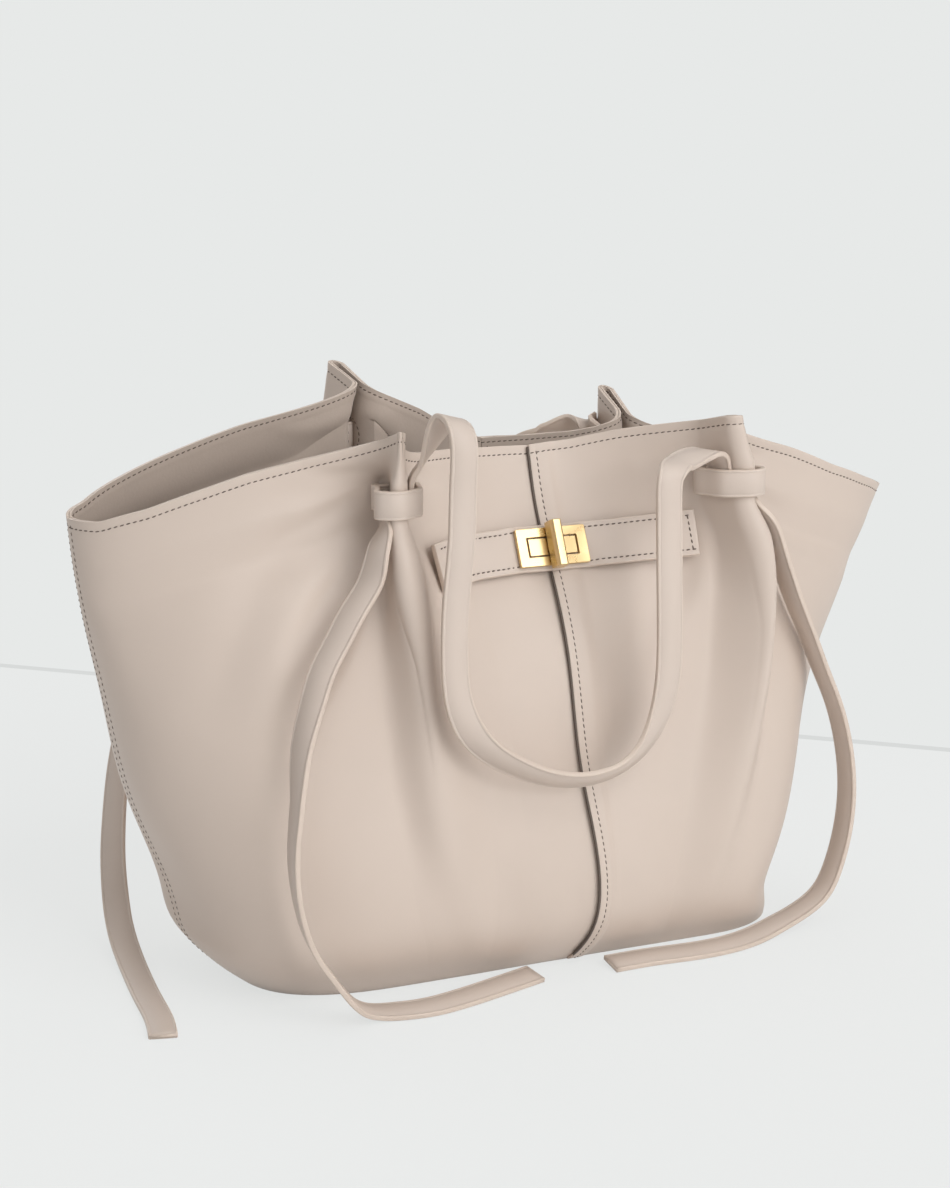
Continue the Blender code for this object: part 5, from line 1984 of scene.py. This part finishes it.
HANDLE_SHARES = {
    Hold.FRONT_HANDLE: (
        (-0.312, -1.107, 0.928), (-0.316, -1.107, 0.826), (-0.328, -1.107, 0.724), (-0.332, -1.107, 0.620),
        (-0.320, -1.107, 0.535), (-0.278, -1.110, 0.470), (-0.200, -1.115, 0.420), (-0.095, -1.119, 0.384),
        (0.000, -1.119, 0.380), (0.075, -1.115, 0.403), (0.131, -1.110, 0.460), (0.157, -1.107, 0.530),
        (0.163, -1.104, 0.620), (0.161, -1.098, 0.730), (0.159, -1.090, 0.845),
    ),
    Hold.BACK_HANDLE: (
        (-0.294, 1.310, 0.850), (-0.300, 1.310, 0.700), (-0.286, 1.310, 0.560), (-0.230, 1.310, 0.450),
        (-0.120, 1.310, 0.388), (0.030, 1.310, 0.388), (0.140, 1.310, 0.450), (0.196, 1.310, 0.560),
        (0.215, 1.310, 0.690), (0.217, 1.305, 0.790),
    ),
}
TAIL_SHARES = {
    Side.FRONT_LEFT: (
        (-0.453, -0.810, 0.807), (-0.470, -0.810, 0.753), (-0.511, -0.833, 0.705), (-0.553, -0.869, 0.655),
        (-0.591, -0.905, 0.608), (-0.615, -0.940, 0.563), (-0.650, -1.000, 0.482), (-0.666, -1.048, 0.399),
        (-0.680, -1.083, 0.315), (-0.677, -1.119, 0.228), (-0.645, -1.149, 0.137), (-0.608, -1.155, 0.088),
        (-0.560, -1.155, 0.035), (-0.516, -1.119, 0.0135), (-0.463, -1.151, 0.0105),
        (-0.398, -1.169, 0.0105), (-0.349, -1.145, 0.0105), (-0.216, -1.026, 0.0105),
        (-0.118, -0.929, 0.0105),
    ),
    Side.FRONT_RIGHT: (
        (0.449, -0.780, 0.800), (0.480, -0.798, 0.745), (0.505, -0.785, 0.695), (0.535, -0.774, 0.637),
        (0.562, -0.774, 0.588), (0.596, -0.738, 0.535), (0.629, -0.714, 0.481), (0.662, -0.690, 0.427),
        (0.699, -0.679, 0.323), (0.708, -0.679, 0.243), (0.696, -0.690, 0.163), (0.674, -0.702, 0.105),
        (0.640, -0.726, 0.060), (0.585, -0.757, 0.033), (0.508, -0.810, 0.0165), (0.416, -0.917, 0.0105),
        (0.274, -0.995, 0.0105), (0.154, -0.970, 0.0105), (0.055, -0.974, 0.0105),
    ),
    Side.BACK_LEFT: (
        (-0.390, 0.960, 0.850), (-0.450, 1.090, 0.780), (-0.560, 1.200, 0.680), (-0.670, 1.250, 0.560),
        (-0.752, 1.240, 0.440), (-0.796, 1.210, 0.320), (-0.815, 1.165, 0.225), (-0.829, 1.085, 0.150),
        (-0.840, 0.950, 0.088), (-0.853, 0.745, 0.048), (-0.864, 0.480, 0.020), (-0.877, 0.170, 0.0065),
        (-0.899, -0.264, 0.0055), (-0.918, -0.645, 0.0055), (-0.937, -0.875, 0.0055),
    ),
    Side.BACK_RIGHT: (
        (0.412, 0.960, 0.790), (0.432, 1.130, 0.700), (0.450, 1.240, 0.590), (0.470, 1.290, 0.450),
        (0.475, 1.300, 0.300), (0.470, 1.320, 0.180), (0.456, 1.340, 0.095), (0.430, 1.355, 0.044),
        (0.390, 1.370, 0.017), (0.325, 1.380, 0.0075), (0.220, 1.390, 0.0065), (0.020, 1.370, 0.0065),
    ),
}
# Share of the way along each tail, then the direction across the strap there
TAIL_WIDTHS = {
    Side.FRONT_LEFT: (
        (0.18, 0.30, -0.95, 0.0), (0.25, 0.68, -0.73, 0.0), (0.40, 0.64, -0.77, 0.0), (0.50, 0.0, -1.0, 0.0),
        (0.62, -0.20, -0.98, 0.0), (0.85, 0.0, -0.975, -0.22),
    ),
    Side.FRONT_RIGHT: ((0.15, 0.3, -0.95, 0.0), (0.5, 0.1, -0.99, 0.0), (0.9, 0.0, -0.975, -0.22)),
    Side.BACK_LEFT: ((0.15, -0.14, 0.99, 0.0), (0.5, -0.5, 0.87, 0.0), (0.9, -1.0, 0.10, 0.0)),
    Side.BACK_RIGHT: ((0.2, 0.0, 1.0, 0.0), (1.0, 0.0, 1.0, 0.0)),
}
# How far the strap has turned from the fold's direction to the hinge line's, at each point of a root
ROOT_TWIST = (0.0, 0.0, 0.0, 0.0, 0.1, 0.6, 0.95, 1.0)


def scaled(shares: Sequence[Sequence[float]]) -> Array:
    """Rows of shares turned into positions."""
    return np.array(shares) * SIZES.route_scale


@dataclass(frozen=True)
class Pocket:
    """Short straight run of strap between a band and its fold."""

    out: float = 0.0225
    clearance: float = 0.0021
    flare: float = 0.0003
    dip: float = 0.005
    rise: float = 0.0095
    drop: float = 0.0085
    shares: tuple = (0.0, 0.33, 0.67, 1.0)

    def points(self, quarter: Quarter, side: int, start: float, end: float) -> Array:
        """Points through the pocket.

        Args:
            quarter: Quarter that the pocket belongs to.
            side: 1 on the centre side of the fold, -1 on the wing side.
            start: First height above the band's middle.
            end: Last height above the band's middle.

        Returns:
            Four points.
        """
        rows = []
        for share in self.shares:
            off = self.clearance + (self.flare if share == self.shares[-1] else 0.0)
            rise = UP * (start + (end - start) * share)
            rows.append(SHAPE.beside_fold(quarter, self.out, side * off) + rise)
        return np.array(rows)


POCKET = Pocket()


@dataclass
class Handles:
    """Two handles, each one strap from band to band."""

    maker: MeshMaker
    tilt: float = math.radians(50.0)
    tilt_height: float = 0.085
    steps: int = 7
    bend_before: float = 0.009
    bend_after: float = 0.0008
    bend_lean: float = math.radians(15.0)
    easing_rounds: int = 3
    easing_span: tuple = (-4, 6)

    def root(self, side: Side, axis: Array) -> tuple[Array, Array]:
        """Points and width directions from a pocket to the hinge line.

        Args:
            side: Quarter whose band holds the root.
            axis: Direction of the hinge line.

        Returns:
            The points and, for each, the direction across the strap.
        """
        quarter = QUARTERS[side]
        pocket = POCKET.points(quarter, 1, -POCKET.dip, POCKET.rise)
        points = np.concatenate([pocket, scaled(ROOT_SHARES[side])])
        direction = SHAPE.fold_run(quarter)[0]
        across = direction * math.copysign(1.0, float(direction[0]))
        twist = np.array(ROOT_TWIST[: len(points)])[:, None]
        return points, across * (1 - twist) + axis * twist

    def hanging_widths(self, path: Array, lowest: float, face: int) -> Array:
        """Directions across the hanging strap, which tilts towards its lowest point.

        Args:
            path: Points along the strap.
            lowest: Height of its lowest point.
            face: Sign of the bag's face in y.

        Returns:
            One direction per point.
        """
        lift = (path[:, 2] - lowest) / self.tilt_height
        tilt = self.tilt * (1 - smooth_step(lift))
        normal = np.stack([np.zeros(len(path)), face * np.cos(tilt), -np.sin(tilt)], -1)
        return unit(np.cross(normal, np.gradient(path, axis=0)))

    def eased(self, widths: Array, edges: Sequence[int]) -> Array:
        """Smooth the changes of direction at some places.

        Args:
            widths: Directions across the strap.
            edges: Numbers of the points where they change.

        Returns:
            The smoothed directions.
        """
        before, after = self.easing_span
        for edge in edges:
            for _ in range(self.easing_rounds):
                for number in range(max(edge + before, 1), min(edge + after, len(widths) - 1)):
                    widths[number] = widths[number - 1] + widths[number] * 2 + widths[number + 1]
                widths = unit(widths)
        return widths

    def build_one(self, hold: Hold, left: Side, right: Side) -> None:
        """Build one handle.

        Args:
            hold: The handle's body.
            left: Quarter at its left end.
            right: Quarter at its right end.
        """
        face = QUARTERS[left].face
        ends = scaled(SPLIT_SHARES[hold])
        axis = unit(ends[1] - ends[0])
        left_points, left_widths = self.root(left, axis)
        right_points, right_widths = self.root(right, axis)
        hanging = scaled(HANDLE_SHARES[hold])
        points = np.concatenate([left_points, ends[:1], hanging, ends[1:], right_points[::-1]])
        path = smooth_path(points, self.steps)
        at, knots = arc_lengths(path), arc_lengths(points)
        first, last = len(left_points), len(points) - len(right_points) - 1
        path_first, path_last = first * self.steps, last * self.steps
        widths = self.hanging_widths(path, hanging[:, 2].min(), face)
        early = knots[: first + 1] * (at[path_first] / knots[first])
        widths[:path_first] = read_along(early, np.vstack([left_widths, axis]) * -face, at[:path_first])
        late, late_at = knots[last:] - knots[last], at[path_last:] - at[path_last]
        late = late * late_at[-1] / late[-1]
        widths[path_last:] = read_along(late, np.vstack([axis, right_widths[::-1]]) * face, late_at)
        widths = self.eased(widths, (path_first, path_last))
        item = STRAP.sweep(self.maker, f"{hold.value}_strap", path, widths)
        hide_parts(hold.value, f"{left.value}_root", f"{right.value}_root")
        middle = ends.mean(axis=0) + SIZES.shift
        across = self.across_hinge(axis, face)
        start, end = ((middle - across * step).tolist() for step in (self.bend_before, self.bend_after))
        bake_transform(item)
        LOG.info("made %s", item.name)

    def across_hinge(self, axis: Array, face: int) -> Array:
        """Direction from roots to handle, square to the hinge line and leaning down from straight out.

        Args:
            axis: Direction of the hinge line.
            face: Sign of the bag's face in y.

        Returns:
            The direction, of length one.
        """
        outward = np.array([0.0, float(face), 0.0])
        outward = unit(outward - axis * float(outward @ axis))
        downward = np.cross(axis, outward)
        downward *= -math.copysign(1.0, float(downward[2]))
        return outward * math.cos(self.bend_lean) + downward * math.sin(self.bend_lean)

    def build(self) -> None:
        """Build both handles."""
        self.build_one(Hold.FRONT_HANDLE, Side.FRONT_LEFT, Side.FRONT_RIGHT)
        self.build_one(Hold.BACK_HANDLE, Side.BACK_LEFT, Side.BACK_RIGHT)


@dataclass
class Tails:
    """Four free strap ends, from under the bands down to the floor."""

    maker: MeshMaker
    steps: int = 6
    declared_points: int = 60

    def build_one(self, side: Side) -> None:
        """Args:
            side: Quarter whose band holds it.
        """
        quarter = QUARTERS[side]
        pocket = POCKET.points(quarter, -1, POCKET.dip, -POCKET.drop)
        points = np.concatenate([pocket, scaled(TAIL_SHARES[side])])
        share = np.arange(len(points)) / (len(points) - 1)
        table = np.array(TAIL_WIDTHS[side])
        widths = read_along(table[:, 0], table[:, 1:], share)
        widths[: len(pocket)] = SHAPE.fold_run(quarter)[0]
        path = smooth_path(points, self.steps)
        travelled, knots = arc_lengths(path), arc_lengths(points)
        across = read_along(knots * travelled[-1] / knots[-1], widths, travelled)
        item = STRAP.sweep(self.maker, f"tail_{side.value}", path, across)
        self.maker.hand_over(item, Hold.BAG, Slot.STRAP, f"{side.value}_tail")
        line = read_along(travelled, path + SIZES.shift, np.linspace(0, travelled[-1], self.declared_points))

    def build(self) -> None:
        """Build the four tails."""
        for side in Side:
            self.build_one(side)


@dataclass
class Bands:
    """Cinch bands round the folds, with the curl beside each wing-side slit.

    Each run of a band has its share of the way from slit to nose, the strap thicknesses and half folds
    added to it, and its share of the side clearance.
    """

    maker: MeshMaker
    front_clearance: float = 0.0018
    side_clearance: float = 0.0064
    runs: tuple = (
        (0.0, 0.0, 0.0, 0.16),
        (0.0, 0.33, 0.0, 0.85),
        (0.0, 1.3, 0.0, 1.0),
        (0.5, 0.0, 0.0, 1.02),
        (1.0, 0.0, 0.0, 1.0),
        (1.0, 0.0, 0.7, 0.50),
    )
    steps: int = 8
    tuck_width: float = 0.0135
    tuck_turns: tuple = ((-0.25, 0.14), (-0.29, 0.34), (-0.40, 0.50), (-0.53, 0.47), (-0.58, 0.34))

    def build_band(self, side: Side) -> None:
        """Build the band round one fold.

        Args:
            side: Quarter whose fold it holds.
        """
        quarter = QUARTERS[side]
        _, depth, half = SHAPE.fold_run(quarter)
        slit, nose = SHAPE.slit_out(quarter, SLIT_TURN), depth - half
        rows = []
        for run, thick, rounding, stand_off in self.runs:
            out = slit + (nose - slit) * run + SIZES.strap_thickness * thick + half * rounding
            rows.append((out, -self.side_clearance * stand_off))
        points = [SHAPE.beside_fold(quarter, out, off) for out, off in rows]
        points.append(SHAPE.beside_fold(quarter, depth + self.front_clearance, 0.0))
        points += [SHAPE.beside_fold(quarter, out, -off) for out, off in rows[::-1]]
        points.append(SHAPE.beside_fold(quarter, slit, 0.0))
        path = smooth_path(np.array(points), self.steps, closed=True)
        item = STRAP.sweep(self.maker, f"band_{side.value}", path, np.tile(UP, (len(path), 1)), closed=True)
        self.maker.hand_over(item, Hold.BAG, Slot.STRAP, f"{side.value}_band")

    def build_tuck(self, side: Side) -> None:
        """Build the curl beside one wing-side slit.

        Args:
            side: Quarter whose slit it is.
        """
        quarter = QUARTERS[side]
        slit = SHAPE.slit_out(quarter, SLIT_TURN)
        turns = np.array(self.tuck_turns) * SIZES.strap_width
        points = [SHAPE.beside_fold(quarter, slit + out, -off) for out, off in turns]
        path = smooth_path(np.array(points), self.steps)
        profile = StrapProfile(width=self.tuck_width)
        item = profile.sweep(self.maker, f"tuck_{side.value}", path, np.tile(UP, (len(path), 1)))
        self.maker.hand_over(item, Hold.BAG, Slot.STRAP, f"{side.value}_tuck")

    def build(self) -> None:
        """Build all bands and curls."""
        for side in Side:
            self.build_band(side)
            self.build_tuck(side)


# Camera, light and backdrop


@dataclass
class Studio:
    """Camera, soft lamps, pale floor and wall."""

    target: tuple = (-0.0240, -0.0080, 0.1973)
    azimuth: float = math.radians(25.5)
    elevation: float = math.radians(12.0)
    distance: float = 1.430
    lens: float = 78.79
    sensor: float = 36.0
    line_left: tuple = (-0.0931, 0.7389)
    line_right: tuple = (0.4479, 0.1962)
    line_width: float = 0.011
    floor_reach: float = 12.0
    floor_seen: Colour = (0.822, 0.838, 0.830)
    # Seen colour of the darker strip where floor meets backdrop: painted shade of that corner.
    corner_shade_seen: Colour = (0.700, 0.715, 0.707)
    lamp_target: tuple = (0.0, 0.0, 0.15)
    clip: tuple = (0.05, 50.0)
    far_seen: Colour = (0.799, 0.815, 0.807)
    world_strength: float = 0.40
    lamps: tuple = (
        ("key_light", (0.60, -2.00, 1.60), 1.9, 34.0),
        ("low_light", (0.80, -2.10, 0.25), 1.8, 13.0),
        ("fill_light", (-1.80, -1.30, 1.00), 1.8, 2.5),
        ("top_light", (0.10, 0.20, 2.20), 1.6, 7.0),
        ("back_light", (-0.50, 2.10, 0.90), 1.8, 14.0),
    )

    def aimed(self, item: bpy.types.Object, place: Sequence[float], target: Sequence[float]) -> None:
        """Put an object somewhere and point its -Z axis at a target.

        Args:
            item: Object.
            place: Where it goes.
            target: What it points at.
        """
        item.location = place
        item.rotation_euler = (Vector(target) - Vector(place)).to_track_quat("-Z", "Y").to_euler()
        bpy.context.scene.collection.objects.link(item)

    def build_camera(self) -> None:
        """Place the camera."""
        data = bpy.data.cameras.new("camera")
        data.sensor_fit = "VERTICAL"
        data.sensor_height = self.sensor
        data.lens = self.lens
        data.clip_start, data.clip_end = self.clip
        flat = math.cos(self.elevation)
        side, front = math.sin(self.azimuth) * flat, math.cos(self.azimuth) * flat
        back = Vector((-side, -front, math.sin(self.elevation)))
        camera = bpy.data.objects.new("camera", data)
        self.aimed(camera, Vector(self.target) + back * self.distance, self.target)
        bpy.context.scene.camera = camera

    def sheet(self, name: str, corners: Sequence[tuple[float, float, float]], finish: BackdropFinish) -> None:
        """Add a flat sheet of the backdrop.

        Args:
            name: Object name.
            corners: Its four corners.
            finish: Its finish.
        """
        data = bpy.data.meshes.new(name)
        data.from_pydata([tuple(corner) for corner in corners], [], [(0, 1, 2, 3)])
        data.materials.append(finish.make())
        item = bpy.data.objects.new(name, data)
        bpy.context.scene.collection.objects.link(item)

    def build_backdrop(self) -> None:
        """Build the floor, with a faint darker strip of painted shade where it meets the plain backdrop, and
        that backdrop beyond it.
        """
        left, right = Vector(self.line_left), Vector(self.line_right)
        run = (right - left).normalized()
        away = Vector((-run.y, run.x))
        strip, reach = self.line_width, self.floor_reach
        floor = BackdropFinish("pale_floor", (0.90, 0.90, 0.90), self.floor_seen, 0.80)
        # The strip along the line is darker: painted shade of the corner where floor meets backdrop.
        line = BackdropFinish("painted_corner_shade_line", (0.70, 0.71, 0.70), self.corner_shade_seen, 0.9)
        beyond = BackdropFinish("pale_backdrop", (0.85, 0.85, 0.85), self.far_seen, 1.0)
        for name, near, far, finish in (
            ("studio_floor", -reach, 0.0, floor),
            ("studio_corner_shade_line", 0.0, strip, line),
            ("studio_backdrop", strip, reach, beyond),
        ):
            ends = ((-reach, near), (reach, near), (reach, far), (-reach, far))
            spots = [left + run * along + away * step for along, step in ends]
            self.sheet(name, [(spot.x, spot.y, 0.0) for spot in spots], finish)

    def build_light(self) -> None:
        """Build the world and the lamps."""
        world = bpy.data.worlds.new("soft_world")
        world.use_nodes = True
        tree = world.node_tree
        light = tree.nodes["Background"]
        light.inputs["Color"].default_value = (1.0, 1.0, 1.0, 1.0)
        light.inputs["Strength"].default_value = self.world_strength
        seen = tree.nodes.new("ShaderNodeBackground")
        seen.inputs["Color"].default_value = (*self.far_seen, 1.0)
        rays, mixer = tree.nodes.new("ShaderNodeLightPath"), tree.nodes.new("ShaderNodeMixShader")
        for number, output in enumerate((rays.outputs["Is Camera Ray"], light.outputs[0], seen.outputs[0])):
            tree.links.new(output, mixer.inputs[number])
        tree.links.new(mixer.outputs[0], tree.nodes["World Output"].inputs["Surface"])
        bpy.context.scene.world = world
        for name, place, size, energy in self.lamps:
            lamp = bpy.data.lights.new(name, "AREA")
            lamp.shape = "SQUARE"
            lamp.size = size
            lamp.energy = energy
            item = bpy.data.objects.new(name, lamp)
            self.aimed(item, place, self.lamp_target)

    def build(self) -> None:
        """Build everything but the camera."""
        self.build_backdrop()
        self.build_light()
        bpy.context.scene.view_settings.view_transform = "Standard"


def main() -> None:
    """Build the scene in order."""
    logging.basicConfig(level=logging.INFO, format="%(name)s %(message)s")
    studio = Studio()
    studio.build_camera()
    maker = MeshMaker(Finishes())
    Tails(maker).build()
    Panels(maker).build()
    Base(maker).build()
    belt = Belt(maker)
    belt.build()
    TurnLock(maker, belt).build()
    Bands(maker).build()
    Handles(maker).build()
    studio.build()


if __name__ == "__main__":
    main()
